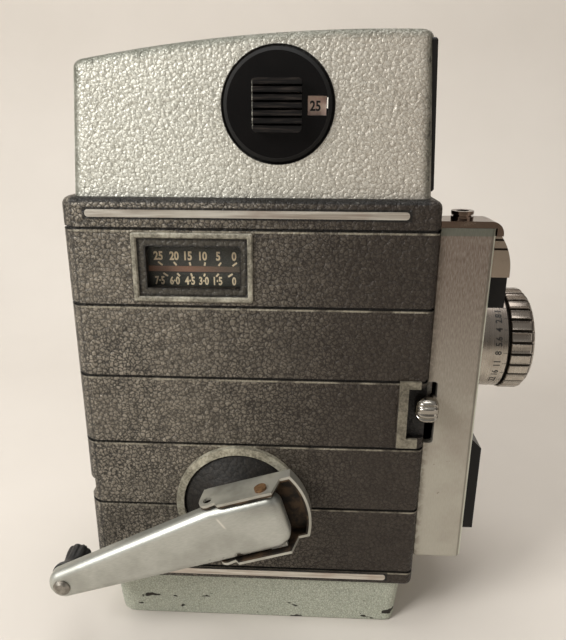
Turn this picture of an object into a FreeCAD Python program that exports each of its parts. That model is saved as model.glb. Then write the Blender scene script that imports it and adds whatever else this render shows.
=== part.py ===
import FreeCAD, Part
import math
import os

import Sketcher
from FreeCAD import Rotation, Vector

# Spring-wound movie camera, in millimetres.
# X runs forward along the lens, Z up, and the crank side faces -Y.
# The origin is the mouth of the tripod socket in the base.

# The driving sizes: one row of the sheet each.
SIZES = {
    # Body casting and its door
    "body_length": 92.0,
    "body_front": 45.0,
    "body_width": 56.0,
    "body_height": 110.0,
    "base_height": 16.0,
    "wall": 2.5,
    "rear_wall": 4.0,
    "rear_corner": 5.0,
    "front_corner": 2.0,
    "edge_round": 2.0,
    "door_thickness": 4.0,
    "door_gap": 0.1,
    "door_skin": 1.9,
    "lip_gap": 0.3,
    "lip_height": 1.6,
    "lip_wall": 1.5,
    "groove_pitch": 19.3,
    "groove_top_band": 6.9,
    "groove_bottom_band": 5.4,
    "groove_width": 0.7,
    "groove_depth": 0.5,
    "notch_depth": 2.2,
    "notch_height": 4.5,
    "notch_rise": 28.0,
    "strip_width": 1.8,
    "strip_thickness": 0.3,
    "strip_drop": 2.7,
    "strip_rise": 2.3,
    "strip_rear_margin": 6.9,
    "strip_front_margin": 7.8,
    "boss_margin": 4.1,
    "boss_radius": 3.0,
    # Door hinge and latch
    "hinge_radius": 2.1,
    "hinge_pin_radius": 1.0,
    "hinge_standoff": 2.2,
    "hinge_rise": 40.0,
    "hinge_knuckle": 14.0,
    "hinge_door_knuckle": 29.4,
    "running_gap": 0.05,
    "side_gap": 0.3,
    "latch_setback": 9.0,
    "latch_rise": 50.0,
    "latch_length": 12.0,
    "latch_width": 6.0,
    "latch_travel": 5.0,
    "latch_depth": 1.5,
    # Base and tripod socket
    "base_rear_inset": 3.2,
    "base_front_inset": 2.3,
    "base_side_inset": 3.2,
    "base_draft": 1.6,
    "base_side_draft": 0.3,
    "base_rear_corner": 5.0,
    "base_front_corner": 3.0,
    "base_round": 0.8,
    "base_floor": 3.0,
    "socket_radius": 3.175,
    "socket_depth": 7.0,
    "bush_radius": 6.0,
    "bush_flange_radius": 8.5,
    "bush_flange": 1.2,
    # Top housing
    "top_rear_inset": 2.8,
    "top_front_inset": 2.1,
    "top_side_inset": 3.0,
    "top_rear_lean": 3.0,
    "front_tilt": 2.9,
    "top_side_lean": 1.5,
    "top_corner": 3.5,
    "top_rear_rise": 30.3,
    "top_slope_rise": 6.9,
    "top_arch_radius": 395.0,
    "top_wall": 2.0,
    "top_round": 2.0,
    # Front window of the top housing
    "bezel_side_margin": 2.5,
    "bezel_margin": 1.5,
    "bezel_top_margin": 1.7,
    "bezel_sink": 0.8,
    "bezel_proud": 0.6,
    "window_sink": 1.9,
    "bezel_rim": 1.8,
    "eye_width": 25.0,
    "eye_margin": 3.25,
    "eye_ribs": 9,
    "finder_y": 12.5,
    "finder_drop": 16.7,
    "finder_width": 12.0,
    "finder_height": 13.0,
    "finder_wall": 1.0,
    "eyepiece_radius": 7.5,
    "eyepiece_proud": 3.0,
    # Exposure meter
    "meter_x": 20.0,
    "meter_y": -9.0,
    "meter_radius": 10.0,
    "meter_height": 13.0,
    # Film speed dial
    "dial_x": 6.0,
    "dial_rise": 20.8,
    "dial_radius": 12.45,
    "dial_thickness": 1.9,
    "dial_sink": 1.6,
    "dial_scale": 0.5,
    "grip_width": 11.2,
    "grip_height": 11.6,
    "grip_rise": 3.0,
    "grip_ridges": 7,
    "dial_window_offset": 9.0,
    "dial_window": 4.2,
    "dial_spindle_radius": 1.5,
    "dial_cam_radius": 7.0,
    # Footage counter
    "counter_x": -14.6,
    "counter_drop": 16.7,
    "counter_length": 29.6,
    "counter_height": 17.2,
    "counter_rim": 1.3,
    "counter_proud": 0.8,
    "counter_window_length": 23.0,
    "counter_window_height": 10.4,
    "counter_glass": 0.8,
    "needle_drop": 25.3,
    "needle_x": -12.6,
    "needle_angle": 26.0,
    "needle_width": 0.7,
    "feeler_x": -36.0,
    "feeler_drop": 26.0,
    "feeler_length": 25.0,
    "feeler_angle": 42.0,
    "needle_teeth": 24,
    "feeler_teeth": 28,
    # Run lever
    "lever_frame_length": 7.4,
    "lever_frame_drop": 19.9,
    "lever_frame_height": 19.0,
    "lever_slot_rise": 2.7,
    "lever_slot_height": 14.3,
    "lever_rest_rise": 6.0,
    "lever_height": 6.8,
    "lever_length": 6.0,
    "lever_rise": 4.6,
    "lever_ribs": 4,
    "lever_recess": 5.0,
    "notch_length": 2.7,
    # Front housing
    "front_length": 13.5,
    "front_side_inset": 2.0,
    "front_rise": 9.0,
    "front_drop": 6.6,
    "front_wall": 2.2,
    "cheek_width": 10.0,
    "cheek_rise": 2.4,
    "shoulder_drop": 4.6,
    "trim_thickness": 1.6,
    "brow_side_margin": 3.0,
    "brow_drop": 2.0,
    "brow_height": 10.6,
    "brow_proud": 5.0,
    "brow_radius": 15.0,
    "panel_proud": 4.5,
    "panel_height": 7.9,
    "plate_proud": 3.2,
    "plate_rise": 8.3,
    "plate_height": 28.7,
    "release_setback": 6.0,
    "release_inset": 5.0,
    "release_radius": 2.7,
    "release_bore": 1.5,
    "release_proud": 2.0,
    "release_bar_drop": 15.4,
    # Lens
    "lens_y": 5.0,
    "lens_rise": 65.4,
    "lens_radius": 15.05,
    "ring_standoff": 12.6,
    "ring_length": 6.8,
    "ring_grooves": 28,
    "ring_groove_depth": 0.7,
    "barrel_radius": 14.6,
    "spigot_radius": 13.0,
    "lens_bore": 11.0,
    "rear_lens_radius": 8.0,
    # Shutter and film gate
    "shutter_y": -7.3,
    "shutter_radius": 15.8,
    "shutter_standoff": 3.5,
    "shutter_blade": 0.8,
    "shutter_opening": 165.0,
    "gate_plate": 1.3,
    "gate_length": 38.0,
    "film_width": 16.0,
    "aperture_width": 4.8,
    "aperture_height": 3.6,
    "film_gap": 0.4,
    "pressure_plate": 1.2,
    # Film chamber
    "plate_front_y": -3.0,
    "plate_thickness": 2.0,
    "spindle_x": -15.0,
    "supply_drop": 29.0,
    "takeup_rise": 29.5,
    "spindle_radius": 3.6,
    "spindle_length": 17.0,
    "spindle_shaft_radius": 1.5,
    # Spring motor
    "hub_x": -4.1,
    "hub_rise": 27.0,
    "arbor_radius": 3.0,
    "drum_radius": 19.6,
    "drum_wall": 1.2,
    "drum_side_gap": 3.5,
    "spring_turns": 8,
    "spring_thickness": 0.5,
    "spring_pitch": 1.65,
    "spring_inner_radius": 4.6,
    "great_module": 1.0,
    "great_teeth": 42,
    "pinion_teeth": 12,
    "wheel_module": 0.8,
    "wheel_teeth": 28,
    "contrate_pinion_teeth": 10,
    "contrate_teeth": 24,
    "shutter_pinion_teeth": 8,
    "gear_backlash": 0.22,
    "contrate_x": 8.0,
    # Crank, measured in its own frame: u along it, v across, w out from the side
    "ring_radius": 17.5,
    "ring_band": 2.1,
    "ring_proud": 1.5,
    "boss_top_radius": 8.0,
    "boss_rise": 4.8,
    "crank_slope": 17.0,
    "crank_base_w": 5.2,
    "crank_sheet": 1.2,
    "crank_rim_radius": 19.8,
    "crank_rim_w": 8.7,
    "ear_v": 9.4,
    "ear_top_w": 14.0,
    "ear_front_u": 12.8,
    "ear_rear_u": -1.6,
    "pin_u": 9.9,
    "pin_w": 11.5,
    "arm_half_width": 7.8,
    "arm_depth": 3.8,
    "arm_tail_u": 13.9,
    "arm_shoulder_u": -5.0,
    "knob_u": -50.4,
    "knob_v": -4.4,
    "knob_end_radius": 4.2,
    "arm_taper": 10.4,
    "knob_length": 10.2,
    "knob_foot_radius": 4.4,
    "knob_waist_radius": 2.9,
    "knob_tip_radius": 3.5,
    "knob_flutes": 9,
    "rivet_radius": 1.4,
}

doc = FreeCAD.newDocument("MovieCamera")
sheet = doc.addObject("Spreadsheet::Sheet", "Sizes")
for row, (alias, value) in enumerate(SIZES.items(), start=1):
    sheet.set(f"A{row}", alias)
    sheet.set(f"B{row}", str(value))
    sheet.setAlias(f"B{row}", alias)
doc.recompute()


# A size that knows its number and the sheet formula it comes from
class Size:
    def __init__(self, value, text):
        self.value = float(value)
        self.text = text

    def __add__(self, other):
        other = as_size(other)
        return Size(self.value + other.value, f"({self.text} + {other.text})")

    def __sub__(self, other):
        other = as_size(other)
        return Size(self.value - other.value, f"({self.text} - {other.text})")

    def __mul__(self, other):
        other = as_size(other)
        return Size(self.value * other.value, f"({self.text} * {other.text})")

    def __truediv__(self, other):
        other = as_size(other)
        return Size(self.value / other.value, f"({self.text} / {other.text})")

    def __neg__(self):
        return Size(-self.value, f"(0 - {self.text})")

    def __radd__(self, other):
        return as_size(other) + self

    def __rsub__(self, other):
        return as_size(other) - self

    def __rmul__(self, other):
        return as_size(other) * self


def as_size(value):
    return value if isinstance(value, Size) else Size(value, repr(float(value)))


def sine(angle):
    return Size(math.sin(math.radians(angle.value)), f"sin({angle.text} * 1 deg)")


def cosine(angle):
    return Size(math.cos(math.radians(angle.value)), f"cos({angle.text} * 1 deg)")


# Reads a driving size by its name
class Dimensions:
    def __getattr__(self, alias):
        return Size(sheet.get(alias), f"Sizes.{alias}")


D = Dimensions()
sub_parts = {}


def keep(label, shape_object):
    shape_object.Label = label
    sub_parts[label] = shape_object
    return shape_object


def bind(target, **sizes):
    for name, length in sizes.items():
        target.setExpression(name.replace("__", "."), as_size(length).text)


def place(target, x=0.0, y=0.0, z=0.0, rotation=None):
    placement = FreeCAD.Placement(Vector(), rotation or Rotation())
    target.Placement = placement
    bind(target, Placement__Base__x=x, Placement__Base__y=y, Placement__Base__z=z)


# Primitives and booleans of the Part kind
TO_AXIS = {
    "x": Rotation(Vector(0, 1, 0), 90),
    "y": Rotation(Vector(1, 0, 0), -90),
    "z": Rotation(),
}


def box(name, x, y, z):
    block = doc.addObject("Part::Box", name)
    bind(block, Length=x[1] - as_size(x[0]), Width=y[1] - as_size(y[0]), Height=z[1] - as_size(z[0]))
    place(block, x[0], y[0], z[0])
    return block


def at_axis(target, axis, centre, start):
    first, second = centre
    spots = {"x": (start, first, second), "y": (first, start, second), "z": (first, second, start)}
    place(target, *spots[axis], rotation=TO_AXIS[axis])


def rod(name, axis, centre, span, radius):
    cylinder = doc.addObject("Part::Cylinder", name)
    bind(cylinder, Radius=radius, Height=span[1] - as_size(span[0]))
    at_axis(cylinder, axis, centre, span[0])
    return cylinder


def cone(name, axis, centre, span, radii):
    taper = doc.addObject("Part::Cone", name)
    bind(taper, Radius1=radii[0], Radius2=radii[1], Height=span[1] - as_size(span[0]))
    at_axis(taper, axis, centre, span[0])
    return taper


def join(name, *pieces):
    union = doc.addObject("Part::MultiFuse", name)
    union.Shapes = list(pieces)
    return union


def cut(name, base, *tools):
    remains = doc.addObject("Part::Cut", name)
    remains.Base = base
    remains.Tool = tools[0] if len(tools) == 1 else join(name + "_tools", *tools)
    return remains


def tube(name, axis, centre, span, radius, bore):
    outer = rod(name + "_outer", axis, centre, span, radius)
    return cut(name, outer, rod(name + "_bore", axis, centre, span, bore))


# Bodies of the PartDesign kind
def new_body(name):
    return doc.addObject("PartDesign::Body", name)


def origin_feature(body, role):
    return next(item for item in body.Origin.OriginFeatures if item.Role == role)


def new_sketch(body, name, role, offset=0.0):
    sketch = body.newObject("Sketcher::SketchObject", name)
    sketch.AttachmentSupport = [(origin_feature(body, role), "")]
    sketch.MapMode = "FlatFace"
    bind(sketch, AttachmentOffset__Base__z=offset)
    return sketch


def pin_point(sketch, edge, end, point):
    for kind, distance in (("DistanceX", point[0]), ("DistanceY", point[1])):
        distance = as_size(distance)
        rule = sketch.addConstraint(Sketcher.Constraint(kind, -1, 1, edge, end, distance.value))
        sketch.setExpression(f"Constraints[{rule}]", distance.text)


# A closed outline through the points; arcs maps an edge to its radius, negative where it turns right
def outline(sketch, points, arcs=None):
    arcs = arcs or {}
    corners = [Vector(as_size(x).value, as_size(y).value, 0) for x, y in points]
    edges = []
    right_turns = []
    for index, start in enumerate(corners):
        end = corners[(index + 1) % len(corners)]
        if index in arcs:
            radius = as_size(arcs[index])
            if radius.value < 0:
                radius = -radius
                start, end = end, start
                right_turns.append(index)
            chord = end - start
            height = math.sqrt(max(radius.value ** 2 - chord.Length ** 2 / 4, 0.0))
            side = Vector(-chord.y, chord.x, 0).normalize()
            centre = (start + end) * 0.5 + side * height
            first = math.atan2(start.y - centre.y, start.x - centre.x)
            last = math.atan2(end.y - centre.y, end.x - centre.x)
            arc_circle = Part.Circle(centre, Vector(0, 0, 1), radius.value)
            edge = sketch.addGeometry(Part.ArcOfCircle(arc_circle, first, last))
            rule = sketch.addConstraint(Sketcher.Constraint("Radius", edge, radius.value))
            sketch.setExpression(f"Constraints[{rule}]", radius.text)
        else:
            edge = sketch.addGeometry(Part.LineSegment(start, end))
        edges.append(edge)
    for index, edge in enumerate(edges):
        following = (index + 1) % len(edges)
        here, there = (1, 2) if index in right_turns else (2, 1)
        other = 2 if following in right_turns else 1
        sketch.addConstraint(Sketcher.Constraint("Coincident", edge, here, edges[following], other))
        pin_point(sketch, edge, there, points[index])


def circle(sketch, centre, radius):
    radius = as_size(radius)
    spot = Vector(as_size(centre[0]).value, as_size(centre[1]).value, 0)
    edge = sketch.addGeometry(Part.Circle(spot, Vector(0, 0, 1), radius.value))
    rule = sketch.addConstraint(Sketcher.Constraint("Radius", edge, radius.value))
    sketch.setExpression(f"Constraints[{rule}]", radius.text)
    pin_point(sketch, edge, 3, centre)


def rectangle(sketch, x, y):
    outline(sketch, [(x[0], y[0]), (x[1], y[0]), (x[1], y[1]), (x[0], y[1])])


# Corner radii run: low x low y, high x low y, high x high y, low x high y
def rounded_rectangle(sketch, x, y, radii):
    low_x, high_x = as_size(x[0]), as_size(x[1])
    low_y, high_y = as_size(y[0]), as_size(y[1])
    a, b, c, d = [as_size(radius) for radius in radii]
    points = [
        (low_x, low_y + a), (low_x + a, low_y),
        (high_x - b, low_y), (high_x, low_y + b),
        (high_x, high_y - c), (high_x - c, high_y),
        (low_x + d, high_y), (low_x, high_y - d),
    ]
    outline(sketch, points, {0: a, 2: b, 4: c, 6: d})


def extrude(body, kind, name, sketch, length, reverse=False, through=False):
    before = body.Tip.Shape.Volume if kind == "Pocket" else 0.0
    feature = body.newObject("PartDesign::" + kind, name)
    feature.Profile = sketch
    feature.Reversed = reverse
    if through:
        feature.Type = "ThroughAll"
    else:
        bind(feature, Length=length)
    doc.recompute()
    if kind == "Pocket" and feature.Shape.Volume > before - 1e-6:
        raise RuntimeError(f"{name} cuts nothing")
    return feature


def pad(body, name, sketch, length, reverse=False):
    return extrude(body, "Pad", name, sketch, length, reverse)


def pocket(body, name, sketch, length=0.0, reverse=False, through=False):
    return extrude(body, "Pocket", name, sketch, length, reverse, through)


def spin(body, kind, name, sketch, axis):
    feature = body.newObject("PartDesign::" + kind, name)
    feature.Profile = sketch
    feature.ReferenceAxis = (sketch, [axis])
    feature.Angle = 360
    doc.recompute()
    return feature


# A block between two rectangles at different heights, with flat leaning sides
def leaning_block(body, name, heights, low_x, low_y, high_x, high_y):
    wedge = body.newObject("PartDesign::AdditiveWedge", name)
    bind(wedge, Xmin=low_x[0], Xmax=low_x[1], X2min=high_x[0], X2max=high_x[1])
    bind(wedge, Zmin=low_y[0], Zmax=low_y[1], Z2min=high_y[0], Z2max=high_y[1])
    bind(wedge, Ymin=0.0, Ymax=heights[1] - as_size(heights[0]))
    place(wedge, 0.0, 0.0, heights[0], Rotation(Vector(1, 0, 0), 90))
    doc.recompute()
    return wedge


def soften(body, kind, name, size, choose):
    base = body.Tip
    edges = [f"Edge{i}" for i, edge in enumerate(base.Shape.Edges, start=1) if choose(edge)]
    feature = body.newObject("PartDesign::" + kind, name)
    feature.Base = (base, edges)
    bind(feature, **{"Radius" if kind == "Fillet" else "Size": size})
    doc.recompute()
    return feature


def repeat_round(body, name, feature, axis, count):
    pattern = body.newObject("PartDesign::PolarPattern", name)
    pattern.Originals = [feature]
    pattern.Axis = (origin_feature(body, axis), [""])
    pattern.Angle = 360
    bind(pattern, Occurrences=count)
    body.Tip = pattern
    doc.recompute()
    return pattern


def repeat_along(body, name, feature, axis, span, count):
    pattern = body.newObject("PartDesign::LinearPattern", name)
    pattern.Originals = [feature]
    pattern.Direction = (origin_feature(body, axis), [""])
    pattern.Length = span.value
    bind(pattern, Length=span)
    pattern.Occurrences = count
    body.Tip = pattern
    doc.recompute()
    return pattern


def spans_z(edge):
    return edge.BoundBox.ZLength


def level(edge, height):
    return spans_z(edge) < 1e-4 and abs(edge.BoundBox.ZMin - height.value) < 1e-4


# Places that several pieces share
body_front = D.body_front
body_rear = D.body_front - D.body_length
half_width = D.body_width / 2
body_bottom = D.base_height
body_top = D.base_height + D.body_height
side_y = -half_width
inner_side_y = side_y + D.wall
front_x = body_front + D.front_length
door_plane = half_width - D.door_thickness
notch_bottom = body_bottom + D.notch_rise
hinge_bottom = body_bottom + D.hinge_rise
latch_x = body_front - D.latch_setback
latch_z = body_bottom + D.latch_rise
top_side = half_width - D.top_side_inset
top_rear_height = body_top + D.top_rear_rise
top_front_height = top_rear_height + D.top_slope_rise
front_foot_x = body_front - D.top_front_inset
tilt_slope = sine(D.front_tilt) / cosine(D.front_tilt)
bezel_half_width = top_side - D.bezel_side_margin
bezel_bottom = D.bezel_margin
bezel_height = top_front_height - body_top - D.bezel_top_margin - bezel_bottom
eye_height = bezel_height - D.eye_margin * 2
finder_z = top_front_height - D.finder_drop
dial_z = body_top + D.dial_rise
dial_seat_y = top_side - D.dial_sink
counter_z = body_top - D.counter_drop
needle_z = counter_z - D.needle_drop
supply_z = body_top - D.supply_drop
takeup_z = body_bottom + D.takeup_rise
feeler_z = supply_z - D.feeler_drop
lens_z = body_bottom + D.lens_rise
hub_z = body_bottom + D.hub_rise
lever_frame_bottom = lens_z - D.lever_frame_drop
lever_slot_bottom = lever_frame_bottom + D.lever_slot_rise
lever_bottom = lever_slot_bottom + D.lever_rest_rise
front_side = half_width - D.front_side_inset
front_bottom = body_bottom + D.front_rise
front_top = body_top - D.front_drop
shoulder_height = front_top - D.cheek_rise
brow_half_width = front_side - D.brow_side_margin
brow_bottom = front_top - D.brow_drop - D.brow_height
panel_bottom = brow_bottom - D.panel_height
plate_bottom = front_bottom + D.plate_rise
release_x = body_front + D.release_setback
release_y = D.release_inset - front_side
ring_start = front_x + D.ring_standoff
shutter_x = body_front + D.shutter_standoff
drum_front_y = inner_side_y + D.drum_side_gap
cavity_x = (body_rear + D.rear_wall, body_front - D.wall)
cavity_z = (body_bottom + D.wall, body_top - D.wall)
plate_y = (D.plate_front_y, D.plate_front_y + D.plate_thickness)
hub = (D.hub_x, hub_z)


# The rounded block that the body and its door are both cut from
def casting_block(body, name):
    plan = new_sketch(body, name + "_plan", "XY_Plane", body_bottom)
    corners = (D.rear_corner, D.front_corner, D.front_corner, D.rear_corner)
    rounded_rectangle(plan, (body_rear, body_front), (-half_width, half_width), corners)
    pad(body, name + "_block", plan, D.body_height)
    soften(body, "Fillet", name + "_edges", D.edge_round,
           lambda e: level(e, body_top) or level(e, body_bottom))


# The lines that run round the casting: five at one pitch and one near the bottom
def casting_grooves(body, name):
    def ring(label, height):
        sketch = new_sketch(body, label + "_sketch", "XY_Plane", height)
        far = 5.0
        rectangle(sketch, (body_rear - far, body_front + far), (-half_width - far, half_width + far))
        deep = D.groove_depth
        radii = (D.rear_corner - deep, D.front_corner - deep, D.front_corner - deep, D.rear_corner - deep)
        rounded_rectangle(sketch, (body_rear + deep, body_front - deep),
                          (-half_width + deep, half_width - deep), radii)
        return pocket(body, label, sketch, D.groove_width)

    ring(name + "_low_groove", body_bottom + D.groove_bottom_band)
    top = ring(name + "_groove", body_top - D.groove_top_band)
    count = 5
    pattern = body.newObject("PartDesign::LinearPattern", name + "_grooves")
    pattern.Originals = [top]
    pattern.Direction = (origin_feature(body, "Z_Axis"), [""])
    pattern.Reversed = True
    bind(pattern, Length=D.groove_pitch * (count - 1))
    pattern.Occurrences = count
    body.Tip = pattern
    doc.recompute()


hinge_x = body_rear - D.hinge_standoff
hinge_y = door_plane
lower_knuckle = (hinge_bottom, hinge_bottom + D.hinge_knuckle)
door_knuckle = (lower_knuckle[1] + D.side_gap, lower_knuckle[1] + D.side_gap + D.hinge_door_knuckle)
upper_knuckle = (door_knuckle[1] + D.side_gap, door_knuckle[1] + D.side_gap + D.hinge_knuckle)


# A hinge knuckle with its web to the casting, on the -Y or +Y side of the parting plane
def knuckle(body, name, span, web_y):
    web = new_sketch(body, name + "_web_sketch", "XY_Plane", span[0])
    rectangle(web, (hinge_x, body_rear + 0.8), web_y)
    pad(body, name + "_web", web, span[1] - span[0])
    barrel = new_sketch(body, name + "_sketch", "XY_Plane", span[0])
    circle(barrel, (hinge_x, hinge_y), D.hinge_radius)
    pad(body, name, barrel, span[1] - span[0])


def hinge_bore(body, name):
    sketch = new_sketch(body, name + "_sketch", "XY_Plane", upper_knuckle[1] + 1.0)
    circle(sketch, (hinge_x, hinge_y), D.hinge_pin_radius + D.running_gap)
    pocket(body, name, sketch, upper_knuckle[1] - lower_knuckle[0] + 2.0)


lens_hole_radius = 7.5
shutter_shaft_radius = 1.0
boss_xs = (cavity_x[0] + D.boss_margin, cavity_x[1] - D.boss_margin)
boss_zs = (cavity_z[0] + D.boss_margin, cavity_z[1] - D.boss_margin)
mount_bosses = [(x, z) for x in boss_xs for z in boss_zs]


def build_body_shell():
    body = new_body("BodyShell")
    casting_block(body, "body")
    casting_grooves(body, "body")
    face = new_sketch(body, "body_parting", "XZ_Plane", -door_plane)
    far = 10.0
    rectangle(face, (body_rear - far, body_front + far), (body_bottom - far, body_top + far))
    pocket(body, "body_open_side", face, through=True)
    inside = new_sketch(body, "body_cavity_sketch", "XZ_Plane", -door_plane)
    rounded_rectangle(inside, cavity_x, cavity_z, (3.0, 3.0, 3.0, 3.0))
    pocket(body, "body_cavity", inside, door_plane - inner_side_y, reverse=True)
    boss_sketch = new_sketch(body, "body_boss_sketch", "XZ_Plane", -inner_side_y)
    for spot in mount_bosses:
        circle(boss_sketch, spot, D.boss_radius)
    pad(body, "body_bosses", boss_sketch, D.plate_front_y - inner_side_y, reverse=True)
    # Stud that the counter needle turns on
    stud = new_sketch(body, "body_stud_sketch", "XZ_Plane", -inner_side_y)
    circle(stud, (D.needle_x, needle_z), 1.0)
    pad(body, "body_stud", stud, 4.5, reverse=True)
    window = new_sketch(body, "body_window_sketch", "XZ_Plane", -side_y)
    half = (D.counter_window_length / 2, D.counter_window_height / 2)
    rectangle(window, (D.counter_x - half[0], D.counter_x + half[0]),
              (counter_z - half[1], counter_z + half[1]))
    pocket(body, "body_window", window, D.wall)
    arbor = new_sketch(body, "body_arbor_sketch", "XZ_Plane", -side_y)
    circle(arbor, hub, D.arbor_radius + 1.0)
    pocket(body, "body_arbor_hole", arbor, D.wall)
    recess = new_sketch(body, "body_lever_sketch", "XZ_Plane", -side_y)
    lever_z = (lever_slot_bottom, lever_slot_bottom + D.lever_slot_height)
    rectangle(recess, (body_front - D.lever_recess, body_front + 1.0), lever_z)
    pocket(body, "body_lever_recess", recess, 1.4)
    holes = new_sketch(body, "body_lens_sketch", "YZ_Plane", body_front)
    circle(holes, (D.lens_y, lens_z), lens_hole_radius)
    circle(holes, (D.shutter_y, lens_z), shutter_shaft_radius + D.running_gap)
    pocket(body, "body_lens_hole", holes, D.wall)
    notch = new_sketch(body, "body_notch_sketch", "XZ_Plane", -door_plane)
    low = notch_bottom
    outline(notch, [
        (body_rear - 1.0, low - 1.8), (body_rear, low - 1.8), (body_rear + D.notch_depth, low),
        (body_rear + D.notch_depth, low + D.notch_height), (body_rear - 1.0, low + D.notch_height)])
    pocket(body, "body_notch", notch, door_plane - side_y + 1.0, reverse=True)
    web_y = (hinge_y - D.hinge_radius, hinge_y - 0.1)
    knuckle(body, "body_knuckle_low", lower_knuckle, web_y)
    knuckle(body, "body_knuckle_high", upper_knuckle, web_y)
    hinge_bore(body, "body_hinge_bore")
    keep("body_shell", body)


latch_pocket_depth = D.latch_depth - 0.5


def build_film_door():
    body = new_body("FilmDoor")
    casting_block(body, "door")
    casting_grooves(body, "door")
    back = door_plane + D.door_gap
    far = 10.0
    face = new_sketch(body, "door_parting", "XZ_Plane", -back)
    rectangle(face, (body_rear - far, body_front + far), (body_bottom - far, body_top + far))
    pocket(body, "door_open_side", face, reverse=True, through=True)
    gap = D.lip_gap
    lip = new_sketch(body, "door_lip_sketch", "XZ_Plane", -back)
    outer_x = (cavity_x[0] + gap, cavity_x[1] - gap)
    outer_z = (cavity_z[0] + gap, cavity_z[1] - gap)
    rounded_rectangle(lip, outer_x, outer_z, (3.0, 3.0, 3.0, 3.0))
    pad(body, "door_lip", lip, D.lip_height)
    thin = gap + D.lip_wall
    hollow = new_sketch(body, "door_hollow_sketch", "XZ_Plane", -(back - D.lip_height))
    inner_x = (cavity_x[0] + thin, cavity_x[1] - thin)
    inner_z = (cavity_z[0] + thin, cavity_z[1] - thin)
    rounded_rectangle(hollow, inner_x, inner_z, (2.0, 2.0, 2.0, 2.0))
    pocket(body, "door_hollow", hollow, half_width - D.door_skin - back + D.lip_height)
    slot = new_sketch(body, "door_latch_sketch", "XZ_Plane", -half_width)
    half = D.latch_width / 2 + 0.3
    rectangle(slot, (latch_x - half, latch_x + half),
              (latch_z - 0.3, latch_z + D.latch_length + D.latch_travel + 0.6))
    pocket(body, "door_latch_pocket", slot, latch_pocket_depth, reverse=True)
    knuckle(body, "door_knuckle", door_knuckle, (hinge_y + 0.2, hinge_y + D.hinge_radius))
    hinge_bore(body, "door_hinge_bore")
    keep("film_door", body)


def build_hinge_and_latch():
    span = (lower_knuckle[0] - 0.8, upper_knuckle[1] + 0.8)
    keep("door_hinge_pin", rod("hinge_pin", "z", (hinge_x, hinge_y), span, D.hinge_pin_radius))
    half = D.latch_width / 2
    low = half_width - latch_pocket_depth
    body = new_body("DoorLatch")
    face = new_sketch(body, "latch_sketch", "XZ_Plane", -low)
    rounded_rectangle(face, (latch_x - half, latch_x + half), (latch_z, latch_z + D.latch_length),
                      (1.0, 1.0, 1.0, 1.0))
    pad(body, "latch_button", face, D.latch_depth, reverse=True)
    rib = new_sketch(body, "latch_rib_sketch", "XZ_Plane", -(low + D.latch_depth))
    rectangle(rib, (latch_x - half + 0.6, latch_x + half - 0.6), (latch_z + 2.0, latch_z + 2.7))
    first = pad(body, "latch_rib", rib, 0.5, reverse=True)
    repeat_along(body, "latch_ribs", first, "Z_Axis", D.latch_length - 4.7, 5)
    keep("door_latch", body)


def build_base():
    body = new_body("BaseHousing")
    lean = D.base_draft
    high_x = (body_rear + D.base_rear_inset, body_front - D.base_front_inset)
    high_y = (-half_width + D.base_side_inset, half_width - D.base_side_inset)
    low_x = (high_x[0] + lean, high_x[1] - lean)
    low_y = (high_y[0] + D.base_side_draft, high_y[1] - D.base_side_draft)
    leaning_block(body, "base_block", (0.0, D.base_height), low_x, low_y, high_x, high_y)
    soften(body, "Fillet", "base_rear_corners", D.base_rear_corner,
           lambda e: spans_z(e) > 1.0 and e.BoundBox.XMax < 0.0)
    soften(body, "Fillet", "base_front_corners", D.base_front_corner,
           lambda e: spans_z(e) > 1.0 and e.BoundBox.XMin > 0.0)
    soften(body, "Fillet", "base_edge", D.base_round, lambda e: level(e, as_size(0.0)))
    hollow = new_sketch(body, "base_hollow_sketch", "XY_Plane", D.base_height)
    thin = D.wall
    corner = D.base_front_corner
    rounded_rectangle(hollow, (low_x[0] + thin, low_x[1] - thin), (low_y[0] + thin, low_y[1] - thin),
                      (corner, corner, corner, corner))
    pocket(body, "base_hollow", hollow, D.base_height - D.base_floor)
    boss = new_sketch(body, "base_boss_sketch", "XY_Plane", D.base_floor)
    circle(boss, (0.0, 0.0), D.bush_radius + 2.5)
    pad(body, "base_boss", boss, D.socket_depth - D.base_floor)
    seat = new_sketch(body, "base_seat_sketch", "XY_Plane")
    circle(seat, (0.0, 0.0), D.bush_radius)
    pocket(body, "base_seat", seat, D.socket_depth, reverse=True)
    rim = new_sketch(body, "base_rim_sketch", "XY_Plane")
    circle(rim, (0.0, 0.0), D.bush_flange_radius)
    pocket(body, "base_rim", rim, D.bush_flange, reverse=True)
    keep("base_housing", body)

    # Steel bush with the tripod thread, drawn plain at the thread's size
    barrel = rod("bush_barrel", "z", (0.0, 0.0), (0.0, D.socket_depth), D.bush_radius)
    flange = rod("bush_flange_disc", "z", (0.0, 0.0), (0.0, D.bush_flange), D.bush_flange_radius)
    bore = rod("bush_bore", "z", (0.0, 0.0), (-1.0, D.socket_depth + 1.0), D.socket_radius)
    keep("tripod_bush", cut("tripod_bush", join("bush_solid", barrel, flange), bore))


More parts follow.
